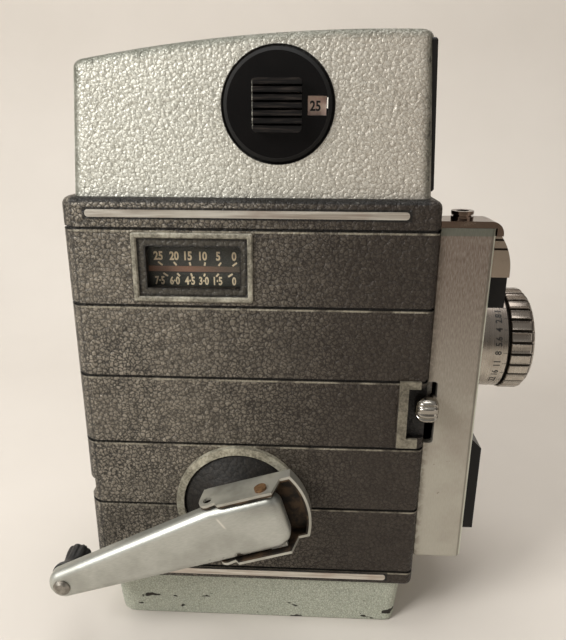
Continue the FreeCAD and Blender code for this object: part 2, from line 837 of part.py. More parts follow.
# The top housing's outside or, with an inset, its inside
def crowned_block(name, inset):
    body = new_body(name)
    rise = top_front_height + 3.0 - body_top
    thin = as_size(inset)
    low_x = (body_rear + D.top_rear_inset + thin, front_foot_x - thin)
    low_y = (-top_side + thin, top_side - thin)
    high_x = (low_x[0] + D.top_rear_lean, low_x[1] - rise * tilt_slope)
    high_y = (low_y[0] + D.top_side_lean, low_y[1] - D.top_side_lean)
    leaning_block(body, name + "_block", (body_top, body_top + rise), low_x, low_y, high_x, high_y)
    crown = new_sketch(body, name + "_crown", "XZ_Plane", top_side + 5.0)
    rear = (body_rear - 2.0, top_rear_height - 1.15 - thin)
    front = (body_front + 2.0, top_front_height - 0.35 - thin)
    high = top_front_height + 10.0
    outline(crown, [rear, front, (front[0], high), (rear[0], high)], {0: -D.top_arch_radius})
    pocket(body, name + "_arch", crown, through=True)
    soften(body, "Fillet", name + "_corners", D.top_corner - thin, lambda e: spans_z(e) > 20.0)
    return body


def build_top_housing():
    outer = crowned_block("TopOuter", 0.0)
    soften(outer, "Fillet", "TopOuter_round", D.top_round,
           lambda e: e.BoundBox.ZMin > top_rear_height.value - 4.0)
    inner = crowned_block("TopInner", D.top_wall)
    # Seat inside the wall for the film speed dial
    dial = (D.dial_x, dial_z)
    seat_back = -dial_seat_y + D.top_wall
    pad_disc = rod("dial_seat_pad", "y", dial, (-dial_seat_y, seat_back), D.dial_radius + 2.5)
    hollow = cut("top_hollow", inner, pad_disc)
    shell = cut("top_shell", outer, hollow)
    recess = rod("dial_recess", "y", dial, (-top_side - 2.0, -dial_seat_y), D.dial_radius + 0.7)
    bore_radius = D.dial_spindle_radius + D.running_gap
    bore = rod("dial_wall_bore", "y", dial, (-top_side - 2.0, seat_back + 1.0), bore_radius)
    mouth_z = (bezel_bottom + D.bezel_rim, bezel_bottom + bezel_height - D.bezel_rim)
    mouth_y = (-bezel_half_width + D.bezel_rim, bezel_half_width - D.bezel_rim)
    mouth = front_box("top_mouth", (-6.0, 3.0), mouth_y, mouth_z)
    seat_z = (bezel_bottom, bezel_bottom + bezel_height)
    seat = front_box("top_bezel_seat", (-D.bezel_sink, 3.0), (-bezel_half_width, bezel_half_width), seat_z)
    eye = (D.finder_y, finder_z)
    outside = eyepiece_seat_x - 5.0
    eyepiece_hole = rod("eyepiece_hole", "x", eye, (outside, eyepiece_seat_x + 8.0), D.eyepiece_radius - 1.5)
    eyepiece_flat = rod("eyepiece_flat", "x", eye, (outside, eyepiece_seat_x), D.eyepiece_radius + 0.4)
    keep("top_housing", cut("top_housing", shell, recess, bore, mouth, seat, eyepiece_hole, eyepiece_flat))


eyepiece_seat_x = body_rear + D.top_rear_inset + D.top_rear_lean * 0.75


# Pieces on the leaning front of the top housing are drawn in its own plane: x runs out of
# the plane and z up it, both from the foot of the front, and then the whole is tilted back
def tilt_back(target):
    target.Placement = FreeCAD.Placement(Vector(), Rotation(Vector(0, -1, 0), D.front_tilt.value))
    bind(target, Placement__Base__x=front_foot_x, Placement__Base__z=body_top,
         Placement__Rotation__Angle=D.front_tilt)


def front_box(name, x, y, z):
    block = box(name, x, y, z)
    turned, out, up = D.front_tilt, as_size(x[0]), as_size(z[0])
    block.Placement = FreeCAD.Placement(block.Placement.Base, Rotation(Vector(0, -1, 0), turned.value))
    bind(block, Placement__Base__x=front_foot_x + out * cosine(turned) - up * sine(turned),
         Placement__Base__z=body_top + out * sine(turned) + up * cosine(turned),
         Placement__Rotation__Angle=turned)
    return block


def build_front_window():
    body = new_body("FrontBezel")
    frame = new_sketch(body, "bezel_sketch", "YZ_Plane", -D.bezel_sink)
    wide = bezel_half_width
    low = bezel_bottom
    rounded_rectangle(frame, (-wide, wide), (low, low + bezel_height), (0.8, 0.8, 0.8, 0.8))
    pad(body, "bezel_block", frame, D.bezel_sink + D.bezel_proud)
    front = D.bezel_proud
    soften(body, "Chamfer", "bezel_edge", as_size(0.4),
           lambda e: abs(e.BoundBox.XMin - front.value) < 1e-4 and e.BoundBox.XLength < 1e-4)
    eye = new_sketch(body, "bezel_eye_sketch", "YZ_Plane", front)
    eye_y = (-wide + D.bezel_rim, -wide + D.bezel_rim + D.eye_width)
    middle = low + bezel_height / 2
    eye_z = (middle - eye_height / 2, middle + eye_height / 2)
    rectangle(eye, eye_y, eye_z)
    glass_y = (D.finder_y - D.finder_width / 2, D.finder_y + D.finder_width / 2)
    glass_middle = finder_z - body_top
    glass_z = (glass_middle - D.finder_height / 2, glass_middle + D.finder_height / 2)
    rectangle(eye, glass_y, glass_z)
    pocket(body, "bezel_openings", eye, through=True)
    tilt_back(body)
    keep("front_bezel", body)

    # Ribbed window in front of the light cell
    window = new_body("EyeWindow")
    plan = new_sketch(window, "eye_plan", "XY_Plane", eye_z[0])
    ribs = int(D.eye_ribs.value)
    step = D.eye_width / ribs
    sheet_back = -D.window_sink
    points = [(sheet_back, eye_y[1]), (sheet_back, eye_y[0])]
    crest = sheet_back + 1.4
    points += [(crest, eye_y[0] + step * index) for index in range(ribs)] + [(crest, eye_y[1])]
    arcs = {2 + index: step * 0.62 for index in range(ribs)}
    outline(plan, points, arcs)
    pad(window, "eye_sheet", plan, eye_height)
    tilt_back(window)
    keep("eye_window", window)

    # The light cell stands upright behind it on its foot
    top_x = front_foot_x - bezel_height * tilt_slope
    cell_x = (top_x - D.window_sink - 2.6, top_x - D.window_sink - 0.6)
    cell_z = (body_top + eye_z[0] + 0.8, body_top + eye_z[1] - 0.8)
    cell = box("cell", cell_x, (eye_y[0] + 0.8, eye_y[1] - 0.8), cell_z)
    foot = box("cell_foot", (cell_x[0], cell_x[0] + 1.0), (eye_y[0] + 4.0, eye_y[1] - 4.0),
               (body_top, cell_z[0] + 1.0))
    keep("light_cell", join("light_cell", cell, foot))

    keep("finder_front_glass", front_box("finder_glass", (-0.9, 0.4), glass_y, glass_z))
    wall = D.finder_wall
    tube_x = (eyepiece_seat_x + 2.6, cell_x[1])
    tube_z = (body_top + glass_z[0], body_top + glass_z[1])
    outer = box("finder_outer", tube_x, (glass_y[0] - wall, glass_y[1] + wall),
                (tube_z[0] - wall, tube_z[1] + wall))
    inner = box("finder_inner", (tube_x[0] - 1.0, tube_x[1] + 1.0), glass_y, tube_z)
    stand_y = (D.finder_y - 1.5, D.finder_y + 1.5)
    stand = box("finder_stand", (-2.0, 4.0), stand_y, (body_top, tube_z[0] - wall))
    keep("finder_tube", cut("finder_tube", join("finder_solid", outer, stand), inner))

    centre = (D.finder_y, finder_z)
    seat = eyepiece_seat_x
    flange = rod("eyepiece_flange", "x", centre, (seat - D.eyepiece_proud, seat), D.eyepiece_radius)
    shank = rod("eyepiece_shank", "x", centre, (seat, seat + 2.4), D.eyepiece_radius - 1.6)
    sight = cone("eyepiece_sight", "x", centre, (seat - D.eyepiece_proud, seat - 1.0),
                 (D.eyepiece_radius - 1.2, 4.0))
    bore = rod("eyepiece_bore", "x", centre, (seat - 1.1, seat + 3.0), 4.0)
    keep("eyepiece", cut("eyepiece", join("eyepiece_solid", flange, shank), sight, bore))
    keep("eyepiece_glass", rod("eyepiece_lens", "x", centre, (seat - 0.6, seat + 0.8), as_size(4.0)))


def build_meter():
    centre = (D.meter_x, D.meter_y)
    top = body_top + D.meter_height
    case = rod("meter_can", "z", centre, (body_top, top), D.meter_radius)
    post = rod("meter_post", "z", centre, (top, top + 3.0), 0.8)
    keep("meter_case", join("meter_case", case, post))
    hub_disc = rod("vane_hub", "z", centre, (top + 0.4, top + 1.8), 2.4)
    arm = box("vane_arm", (D.meter_x, D.meter_x + 13.0), (D.meter_y - 0.6, D.meter_y + 0.6),
              (top + 0.8, top + 1.2))
    flag = box("vane_flag", (D.meter_x + 10.0, D.meter_x + 14.0), (D.meter_y - 3.0, D.meter_y + 3.0),
               (top + 0.8, top + 1.2))
    bore = rod("vane_bore", "z", centre, (top, top + 3.0), 0.8 + D.running_gap)
    keep("meter_vane", cut("meter_vane", join("vane_solid", hub_disc, arm, flag), bore))


def build_dial():
    seat = -dial_seat_y
    centre = (D.dial_x, dial_z)
    bore = D.dial_spindle_radius + D.running_gap
    keep("dial_scale", tube("dial_scale", "y", centre, (seat - D.dial_scale, seat), D.dial_radius, bore))

    body = new_body("SpeedDial")
    back = D.dial_scale + 0.1
    face = new_sketch(body, "dial_disc_sketch", "XY_Plane", back)
    circle(face, (0.0, 0.0), D.dial_radius)
    pad(body, "dial_disc", face, D.dial_thickness)
    front = back + D.dial_thickness
    soften(body, "Chamfer", "dial_bevel", as_size(0.8), lambda e: level(e, front))
    grip = new_sketch(body, "dial_grip_sketch", "XY_Plane", front)
    half = (D.grip_width / 2, D.grip_height / 2)
    rounded_rectangle(grip, (-half[0], half[0]), (-half[1], half[1]), (1.0, 1.0, 1.0, 1.0))
    pad(body, "dial_grip", grip, D.grip_rise)
    count = int(D.grip_ridges.value)
    pitch = D.grip_height / count
    line = new_sketch(body, "dial_ridge_sketch", "YZ_Plane", half[0] + 1.0)
    top = front + D.grip_rise
    low = pitch - half[1]
    outline(line, [(low - 0.35, top + 0.1), (low, top - 0.8), (low + 0.35, top + 0.1)])
    valley = pocket(body, "dial_valley", line, D.grip_width + 2.0)
    repeat_along(body, "dial_ridges", valley, "Y_Axis", pitch * (count - 2), count - 1)
    window = new_sketch(body, "dial_window_sketch", "XY_Plane", front)
    reach = D.dial_window_offset
    wide = D.dial_window / 2
    rectangle(window, (reach - wide, reach + wide), (-wide, wide))
    pocket(body, "dial_window", window, D.dial_thickness)
    spindle = new_sketch(body, "dial_spindle_sketch", "XY_Plane", back)
    circle(spindle, (0.0, 0.0), D.dial_spindle_radius)
    pad(body, "dial_spindle", spindle, back + D.top_wall + 1.0, reverse=True)
    place(body, D.dial_x, seat, dial_z, Rotation(Vector(1, 0, 0), 90))
    keep("film_speed_dial", body)

    cam_y = seat + D.top_wall + 0.3
    disc = rod("cam_disc", "y", centre, (cam_y, cam_y + 1.2), D.dial_cam_radius)
    lobe = rod("cam_lobe", "y", (D.dial_x + 3.0, dial_z), (cam_y, cam_y + 1.2), D.dial_cam_radius - 1.0)
    hole = rod("cam_hole", "y", centre, (cam_y - 1.0, cam_y + 0.7), D.dial_spindle_radius)
    keep("dial_cam", cut("dial_cam", join("cam_solid", disc, lobe), hole))


def build_counter():
    half = (D.counter_length / 2, D.counter_height / 2)
    x = (D.counter_x - half[0], D.counter_x + half[0])
    z = (counter_z - half[1], counter_z + half[1])
    rim = D.counter_rim
    body = new_body("CounterFrame")
    face = new_sketch(body, "counter_frame_sketch", "XZ_Plane", -side_y)
    rounded_rectangle(face, x, z, (0.6, 0.6, 0.6, 0.6))
    rectangle(face, (x[0] + rim, x[1] - rim), (z[0] + rim, z[1] - rim))
    pad(body, "counter_frame", face, D.counter_proud)
    outside = (side_y - D.counter_proud).value
    soften(body, "Chamfer", "counter_frame_edge", as_size(0.3),
           lambda e: abs(e.BoundBox.YMin - outside) < 1e-4 and e.BoundBox.YLength < 1e-4)
    keep("counter_frame", body)

    window = (D.counter_window_length / 2, D.counter_window_height / 2)
    back = inner_side_y + D.counter_glass
    glass_x = (D.counter_x - window[0] - 1.5, D.counter_x + window[0] + 1.5)
    glass_z = (counter_z - window[1] - 1.5, counter_z + window[1] + 1.5)
    keep("counter_glass", box("counter_pane", glass_x, (inner_side_y, back), glass_z))
    room = 1.6
    tray = box("tray_block", glass_x, (back, back + room + 0.6), glass_z)
    hollow_x = (glass_x[0] - 1.0, glass_x[1] + 1.0)
    hollow = box("tray_hollow", hollow_x, (back - 1.0, back + room), (glass_z[0] - 1.0, glass_z[1] - 0.8))
    keep("counter_dial", cut("counter_dial", tray, hollow))

    # Needle with its toothed sector, in step with the film feeler's sector
    needle_y = (back + 0.6, back + 1.0)
    pivot = (D.needle_x, needle_z)
    low_y = inner_side_y + 1.0
    hub_rod = rod("needle_hub", "y", pivot, (low_y, low_y + 3.4), 2.2)
    pointer = box("needle_pointer", (-D.needle_width / 2, D.needle_width / 2), (0.0, 0.4), (0.0, 28.5))
    pointer.Placement = FreeCAD.Placement(Vector(), Rotation(Vector(0, 1, 0), D.needle_angle.value))
    corner = D.needle_width / 2
    bind(pointer, Placement__Rotation__Angle=D.needle_angle)
    bind(pointer, Placement__Base__x=D.needle_x - corner * cosine(D.needle_angle),
         Placement__Base__y=needle_y[0], Placement__Base__z=needle_z + corner * sine(D.needle_angle))
    sector_y = (low_y + 2.0, low_y + 3.4)
    sector = gear_sector("needle_sector", needle_sector_radius, needle_teeth, -5, 2, sector_y, pivot,
                         sector_heading, 0.0)
    bore = rod("needle_bore", "y", pivot, (low_y - 1.0, low_y + 4.4), 1.0 + D.running_gap)
    keep("counter_needle", cut("counter_needle", join("needle_solid", hub_rod, pointer, sector), bore))

    feeler = (D.feeler_x, feeler_z)
    back_heading = sector_heading + 180.0
    mate = gear_sector("feeler_sector", feeler_sector_radius, feeler_teeth, -2, 5, sector_y, feeler,
                       back_heading, 0.5)
    shaft = rod("feeler_shaft", "y", feeler, (low_y + 2.0, plate_y[1] + 8.0), 1.2)
    arm = box("feeler_arm", (0.0, D.feeler_length), (plate_y[1] + 5.8, plate_y[1] + 7.0), (-1.0, 1.0))
    lift = D.feeler_angle
    arm.Placement = FreeCAD.Placement(Vector(), Rotation(Vector(0, -1, 0), lift.value))
    bind(arm, Placement__Rotation__Angle=lift)
    bind(arm, Placement__Base__x=D.feeler_x, Placement__Base__y=plate_y[1] + 5.8, Placement__Base__z=feeler_z)
    hub_end = rod("feeler_hub", "y", feeler, (plate_y[1] + 4.8, plate_y[1] + 8.0), 2.6)
    tip = (D.feeler_x + D.feeler_length * cosine(lift), feeler_z + D.feeler_length * sine(lift))
    roller = rod("feeler_roller", "y", tip, (plate_y[1] + 4.8, plate_y[1] + 11.0), 1.8)
    keep("film_feeler", join("film_feeler", mate, shaft, arm, hub_end, roller))


# Toothed outline of a gear in its own plane, as points: two flank corners a side, root and tip
def gear_points(module, teeth, backlash, phase, first=0, last=None):
    pitch_radius = module * teeth / 2
    tip, root = pitch_radius + 0.85 * module, pitch_radius - 1.15 * module
    half_pitch = math.pi * module / 4 - backlash / 2
    shape = []
    for tooth in range(first, teeth if last is None else last):
        middle = phase + 2 * math.pi * tooth / teeth
        for radius, half in ((root, half_pitch + 0.42 * module), (pitch_radius, half_pitch),
                             (tip, half_pitch - 0.36 * module)):
            shape.append((radius, middle - half / pitch_radius))
        for radius, half in ((tip, half_pitch - 0.36 * module), (pitch_radius, half_pitch),
                             (root, half_pitch + 0.42 * module)):
            shape.append((radius, middle + half / pitch_radius))
    return [Vector(radius * math.cos(angle), radius * math.sin(angle), 0) for radius, angle in shape]


# A flat toothed wheel along axis Y (turning from +X to +Z) or along axis X (from +Y to +Z)
def gear_solid(points, thickness):
    face = Part.Face(Part.makePolygon(points + [points[0]]))
    return face.extrude(Vector(0, 0, thickness))


def add_shape(name, shape, position, rotation):
    feature = doc.addObject("Part::Feature", name)
    feature.Shape = shape
    feature.Placement = FreeCAD.Placement(position, rotation)
    return feature


# Local x, y, z of a wheel on a Y axis go to world X, Z, -Y
FACING_SIDE = Rotation(Vector(1, 0, 0), 90)


def toothed_wheel(name, module, teeth, centre, span, heading, gap_first=False):
    phase = math.radians(heading) + (math.pi / teeth if gap_first else 0.0)
    points = gear_points(module.value, teeth, D.gear_backlash.value, phase)
    low, high = as_size(span[0]).value, as_size(span[1]).value
    spot = Vector(as_size(centre[0]).value, high, as_size(centre[1]).value)
    return add_shape(name, gear_solid(points, high - low), spot, FACING_SIDE)


# A toothed sector from its hub out, with the teeth from first to last counted from the heading
def gear_sector(name, radius, teeth, first, last, span, centre, heading, shift):
    module = 2 * radius / teeth
    phase = math.radians(heading) + 2 * math.pi * shift / teeth
    rim = gear_points(module, teeth, D.gear_backlash.value, phase, first, last)
    points = [Vector(0, 0, 0)] + rim
    low, high = as_size(span[0]).value, as_size(span[1]).value
    spot = Vector(as_size(centre[0]).value, high, as_size(centre[1]).value)
    return add_shape(name, gear_solid(points, high - low), spot, FACING_SIDE)


def heading_between(first, second):
    rise = as_size(second[1]).value - as_size(first[1]).value
    return math.degrees(math.atan2(rise, as_size(second[0]).value - as_size(first[0]).value))


def distance_between(first, second):
    run = as_size(second[0]).value - as_size(first[0]).value
    return math.hypot(run, as_size(second[1]).value - as_size(first[1]).value)


sector_heading = heading_between((D.needle_x, needle_z), (D.feeler_x, feeler_z))
sector_distance = distance_between((D.needle_x, needle_z), (D.feeler_x, feeler_z))
needle_teeth = int(D.needle_teeth.value)
feeler_teeth = int(D.feeler_teeth.value)
needle_sector_radius = sector_distance * needle_teeth / (needle_teeth + feeler_teeth)
feeler_sector_radius = sector_distance - needle_sector_radius


def build_plate():
    fit = 0.1
    sheet_x = (cavity_x[0] + fit, cavity_x[1] - fit)
    sheet_z = (cavity_z[0] + fit, cavity_z[1] - fit)
    body = new_body("MechanismPlate")
    face = new_sketch(body, "plate_sketch", "XZ_Plane", -plate_y[0])
    rounded_rectangle(face, sheet_x, sheet_z, (3.0, 3.0, 3.0, 3.0))
    running = D.running_gap
    circle(face, hub, arbor_tail_radius + running)
    circle(face, (D.feeler_x, feeler_z), 1.2 + running)
    circle(face, (D.spindle_x, supply_z), D.spindle_shaft_radius + running)
    circle(face, (D.spindle_x, takeup_z), D.spindle_shaft_radius + running)
    pad(body, "plate_sheet", face, D.plate_thickness, reverse=True)
    studs = new_sketch(body, "plate_stud_sketch", "XZ_Plane", -plate_y[0])
    circle(studs, drive_centre, 1.5)
    circle(studs, (D.contrate_x, lens_z), 1.5)
    pad(body, "plate_studs", studs, 11.0)
    lug_z = (lens_z - 3.2, lens_z + 3.2)
    lug_y = (D.shutter_y - 3.0, plate_y[0])
    for name, low in (("plate_rear_lug", contrate_mesh_x + 2.4), ("plate_front_lug", cavity_x[1] - 3.6)):
        lug = new_sketch(body, name + "_sketch", "YZ_Plane", low)
        rectangle(lug, lug_y, lug_z)
        pad(body, name, lug, 2.2)
    bearing = new_sketch(body, "plate_bearing_sketch", "YZ_Plane", cavity_x[1])
    circle(bearing, (D.shutter_y, lens_z), shutter_shaft_radius + running)
    pocket(body, "plate_bearing", bearing, cavity_x[1] - contrate_mesh_x)
    keep("mechanism_plate", body)


def build_motor():
    barrel_back = plate_y[0] - 4.2
    gear_y = (barrel_back - 2.0, barrel_back)
    drum = (drum_front_y, gear_y[0])
    wall = D.drum_wall
    teeth = int(D.great_teeth.value)
    wheel = toothed_wheel("great_wheel", D.great_module, teeth, hub, gear_y, drive_heading)
    can = rod("drum_can", "y", hub, drum, D.drum_radius)
    hollow = rod("drum_hollow", "y", hub, (drum[0] + wall, gear_y[1] + 1.0), D.drum_radius - wall)
    hub_bore = rod("drum_bore", "y", hub, (drum[0] - 1.0, gear_y[1] + 1.0), D.arbor_radius + D.running_gap)
    keep("spring_barrel", cut("spring_barrel", join("barrel_solid", wheel, can), hollow, hub_bore))
    lid_y = (gear_y[1] - wall, gear_y[1])
    lid_bore = D.arbor_radius + D.running_gap
    keep("barrel_lid", tube("barrel_lid", "y", hub, lid_y, D.drum_radius - wall, lid_bore))
    spring_y = (drum[0] + wall + 0.2, lid_y[0] - 0.2)
    keep("mainspring", mainspring(spring_y))

    # The wound shaft: bearing in the boss, through the drum, to the plate
    start = side_y - D.crank_base_w
    thick = rod("arbor_thick", "y", hub, (start, barrel_back + 0.6), D.arbor_radius)
    thin = rod("arbor_thin", "y", hub, (barrel_back + 0.6, plate_y[1]), arbor_tail_radius)
    keep("winding_arbor", join("winding_arbor", thick, thin))


arbor_tail_radius = as_size(2.0)


# Flat spiral of half circles, each a little larger than the last, with a tab out to the drum
def mainspring(span):
    pitch = D.spring_pitch.value
    half = D.spring_thickness.value / 2
    outer_edges, inner_edges = [], []
    radius = D.spring_inner_radius.value
    centre_x = 0.0
    for turn in range(2 * int(D.spring_turns.value)):
        side = 1 if turn % 2 == 0 else -1
        for edges, grow in ((outer_edges, half), (inner_edges, -half)):
            reach = radius + grow
            start = Vector(centre_x + side * reach, 0, 0)
            end = Vector(centre_x - side * reach, 0, 0)
            edges.append(Part.Arc(start, Vector(centre_x, side * reach, 0), end).toShape())
        centre_x += side * pitch / 2
        radius += pitch / 2
    first_outer, first_inner = outer_edges[0].Vertexes[0].Point, inner_edges[0].Vertexes[0].Point
    last_outer, last_inner = outer_edges[-1].Vertexes[-1].Point, inner_edges[-1].Vertexes[-1].Point
    ends = [Part.makeLine(first_outer, first_inner), Part.makeLine(last_inner, last_outer)]
    wire = Part.Wire(Part.__sortEdges__(outer_edges + inner_edges + ends))
    low, high = as_size(span[0]).value, as_size(span[1]).value
    strip = Part.Face(wire).extrude(Vector(0, 0, high - low))
    drum_inside = (D.drum_radius - D.drum_wall).value
    tab = Part.makeBox(drum_inside - 0.03 - last_inner.x, 0.6, high - low, Vector(last_inner.x, 0, 0))
    spring = strip.fuse(tab)
    return add_shape("mainspring", spring, Vector(D.hub_x.value, high, hub_z.value), FACING_SIDE)


# Where the drive wheel sits: in mesh with the great wheel and with the contrate pinion
def circle_crossing(first, second, first_reach, second_reach):
    span = distance_between(first, second)
    along = (first_reach ** 2 - second_reach ** 2 + span ** 2) / (2 * span)
    across = math.sqrt(first_reach ** 2 - along ** 2)
    heading = math.radians(heading_between(first, second))
    x = as_size(first[0]).value + along * math.cos(heading) + across * math.sin(heading)
    z = as_size(first[1]).value + along * math.sin(heading) - across * math.cos(heading)
    return (x, z)


contrate_centre = (D.contrate_x, lens_z)
great_reach = D.great_module.value * (D.great_teeth.value + D.pinion_teeth.value) / 2
wheel_reach = D.wheel_module.value * (D.wheel_teeth.value + D.contrate_pinion_teeth.value) / 2
drive_centre = circle_crossing(hub, contrate_centre, great_reach, wheel_reach)
drive_heading = heading_between(hub, drive_centre)
contrate_radius = D.wheel_module * D.contrate_teeth / 2
contrate_mesh_x = D.contrate_x + contrate_radius


def build_train():
    barrel_back = plate_y[0] - 4.2
    wheel_y = (plate_y[0] - 2.6, plate_y[0] - 1.0)
    running = D.running_gap
    pinion = toothed_wheel("drive_pinion", D.great_module, int(D.pinion_teeth.value), drive_centre,
                           (barrel_back - 2.4, wheel_y[0]), drive_heading + 180.0, gap_first=True)
    onward = heading_between(drive_centre, contrate_centre)
    wheel = toothed_wheel("drive_wheel_rim", D.wheel_module, int(D.wheel_teeth.value), drive_centre,
                          wheel_y, onward)
    bore = rod("drive_bore", "y", drive_centre, (-30.0, 0.0), 1.5 + running)
    keep("drive_wheel", cut("drive_wheel", join("drive_solid", pinion, wheel), bore))

    small = toothed_wheel("contrate_pinion", D.wheel_module, int(D.contrate_pinion_teeth.value), contrate_centre,
                          (wheel_y[0] - 0.3, wheel_y[1] + 0.3), onward + 180.0, gap_first=True)
    pinion_reach = D.wheel_module * D.shutter_pinion_teeth / 2
    mesh_y = D.shutter_y - pinion_reach
    disc_y = (mesh_y - 2.4, mesh_y - 1.0)
    disc = rod("contrate_disc", "y", contrate_centre, disc_y, contrate_radius + 1.2)
    core = rod("contrate_core", "y", contrate_centre, (disc_y[0], wheel_y[0]), 2.6)
    ring_teeth = contrate_teeth_shape(disc_y[1].value)
    hole = rod("contrate_bore", "y", contrate_centre, (-30.0, 0.0), 1.5 + running)
    keep("contrate_wheel", cut("contrate_wheel", join("contrate_solid", small, disc, core, ring_teeth), hole))

    axis = (D.shutter_y, lens_z)
    teeth = int(D.shutter_pinion_teeth.value)
    leaf = gear_points(D.wheel_module.value, teeth, D.gear_backlash.value, -math.pi + math.pi / teeth)
    start = contrate_mesh_x.value - 1.6
    turned = Rotation(Vector(1, 1, 1), 120)
    spot = Vector(start, D.shutter_y.value, lens_z.value)
    leaves = add_shape("shutter_leaves", gear_solid(leaf, 3.2), spot, turned)
    shaft = rod("shutter_rod", "x", axis, (start, shutter_x + 1.8), shutter_shaft_radius)
    keep("shutter_shaft", join("shutter_shaft", leaves, shaft))

    # Shutter disc with its open sector
    disc_x = (shutter_x, shutter_x + D.shutter_blade)
    blade = rod("shutter_blade", "x", axis, disc_x, D.shutter_radius)
    collar = rod("shutter_collar", "x", axis, (disc_x[0] - 1.6, disc_x[1] + 1.0), 2.6)
    plate = join("shutter_solid", blade, collar)
    sector = doc.addObject("Part::Cylinder", "shutter_sector")
    bind(sector, Radius=D.shutter_radius + 1.0, Height=D.shutter_blade, Angle=D.shutter_opening)
    at_axis(sector, "x", axis, disc_x[0])
    hub_zone = rod("shutter_hub_zone", "x", axis, (disc_x[0] - 1.0, disc_x[1] + 1.0), 4.0)
    keep_hub = cut("shutter_window", sector, hub_zone)
    hole = rod("shutter_hole", "x", axis, (disc_x[0] - 3.0, disc_x[1] + 3.0), shutter_shaft_radius)
    keep("shutter_disc", cut("shutter_disc", plate, keep_hub, hole))


# Face teeth of the contrate wheel, pointing to +Y, as wedges about the wheel's axis
def contrate_teeth_shape(base_y):
    module = D.wheel_module.value
    teeth = int(D.contrate_teeth.value)
    middle = contrate_radius.value
    foot, crest = math.pi * module / 4 + 0.30 * module - 0.11, math.pi * module / 4 - 0.36 * module - 0.11
    height = 1.75 * module
    wedges = []
    for tooth in range(teeth):
        angle = 2 * math.pi * tooth / teeth
        inner, outer = middle - 1.1, middle + 1.1
        profile = [(-foot, -0.2), (foot, -0.2), (crest, height), (-crest, height)]
        corners = [Vector(inner, across * 1.0, along) for across, along in profile]
        wedge = Part.Face(Part.makePolygon(corners + [corners[0]])).extrude(Vector(outer - inner, 0, 0))
        wedge.rotate(Vector(), Vector(0, 0, 1), math.degrees(angle))
        wedges.append(wedge)
    crown = wedges[0].multiFuse(wedges[1:])
    # Local z is world +Y here, and local x stays world X
    spot = Vector(D.contrate_x.value, base_y, lens_z.value)
    return add_shape("contrate_teeth_ring", crown, spot, Rotation(Vector(1, 0, 0), -90))


def build_film_path():
    front = cavity_x[1]
    film = (D.lens_y + 4.1 - D.film_width / 2, D.lens_y + 4.1 + D.film_width / 2)
    gate_x = (front - D.gate_plate, front)
    z = (lens_z - D.gate_length / 2, lens_z + D.gate_length / 2)
    body = new_body("FilmGate")
    face = new_sketch(body, "gate_sketch", "YZ_Plane", gate_x[0])
    rounded_rectangle(face, (plate_y[1] + 0.1, film[1] + 2.0), z, (1.0, 1.0, 1.0, 1.0))
    half = (D.aperture_width / 2, D.aperture_height / 2)
    rectangle(face, (D.lens_y - half[0], D.lens_y + half[0]), (lens_z - half[1], lens_z + half[1]))
    pad(body, "gate_sheet", face, D.gate_plate)
    pins = new_sketch(body, "gate_pin_sketch", "YZ_Plane", gate_x[0])
    middle_y = (film[0] + film[1]) / 2
    for height in (z[0] + 4.0, z[1] - 4.0):
        circle(pins, (middle_y, height), 1.0)
    pad(body, "gate_pins", pins, 6.0, reverse=True)
    keep("film_gate", body)

    plate = new_body("PressurePlate")
    back = new_sketch(plate, "pressure_sketch", "YZ_Plane", gate_x[0] - D.film_gap)
    rounded_rectangle(back, (film[0] + 0.4, film[1] - 0.4), (z[0] + 2.0, z[1] - 2.0), (1.5, 1.5, 1.5, 1.5))
    for height in (z[0] + 4.0, z[1] - 4.0):
        circle(back, (middle_y, height), 1.0 + D.running_gap)
    pad(plate, "pressure_sheet", back, D.pressure_plate, reverse=True)
    keep("pressure_plate", plate)

    for name, height in (("supply_spindle", supply_z), ("takeup_spindle", takeup_z)):
        spindle = new_body(name.title().replace("_", ""))
        profile = new_sketch(spindle, name + "_sketch", "XZ_Plane", -(plate_y[1] + 0.1))
        circle(profile, (0.0, 0.0), D.spindle_radius)
        pad(spindle, name + "_post", profile, D.spindle_length, reverse=True)
        soften(spindle, "Chamfer", name + "_nose", as_size(1.2),
               lambda e: e.BoundBox.YLength < 1e-4 and e.BoundBox.YMin > plate_y[1].value + 5.0)
        key = new_sketch(spindle, name + "_key_sketch", "XZ_Plane", -(plate_y[1] + 3.0))
        rectangle(key, (0.0, D.spindle_radius + 1.2), (-0.7, 0.7))
        fin = pad(spindle, name + "_key", key, 7.0, reverse=True)
        repeat_round(spindle, name + "_keys", fin, "Y_Axis", as_size(3))
        shaft = new_sketch(spindle, name + "_shaft_sketch", "XZ_Plane", -(plate_y[1] + 0.1))
        circle(shaft, (0.0, 0.0), D.spindle_shaft_radius)
        pad(spindle, name + "_shaft", shaft, D.plate_thickness + 1.4)
        place(spindle, D.spindle_x, 0.0, height)
        keep(name, spindle)


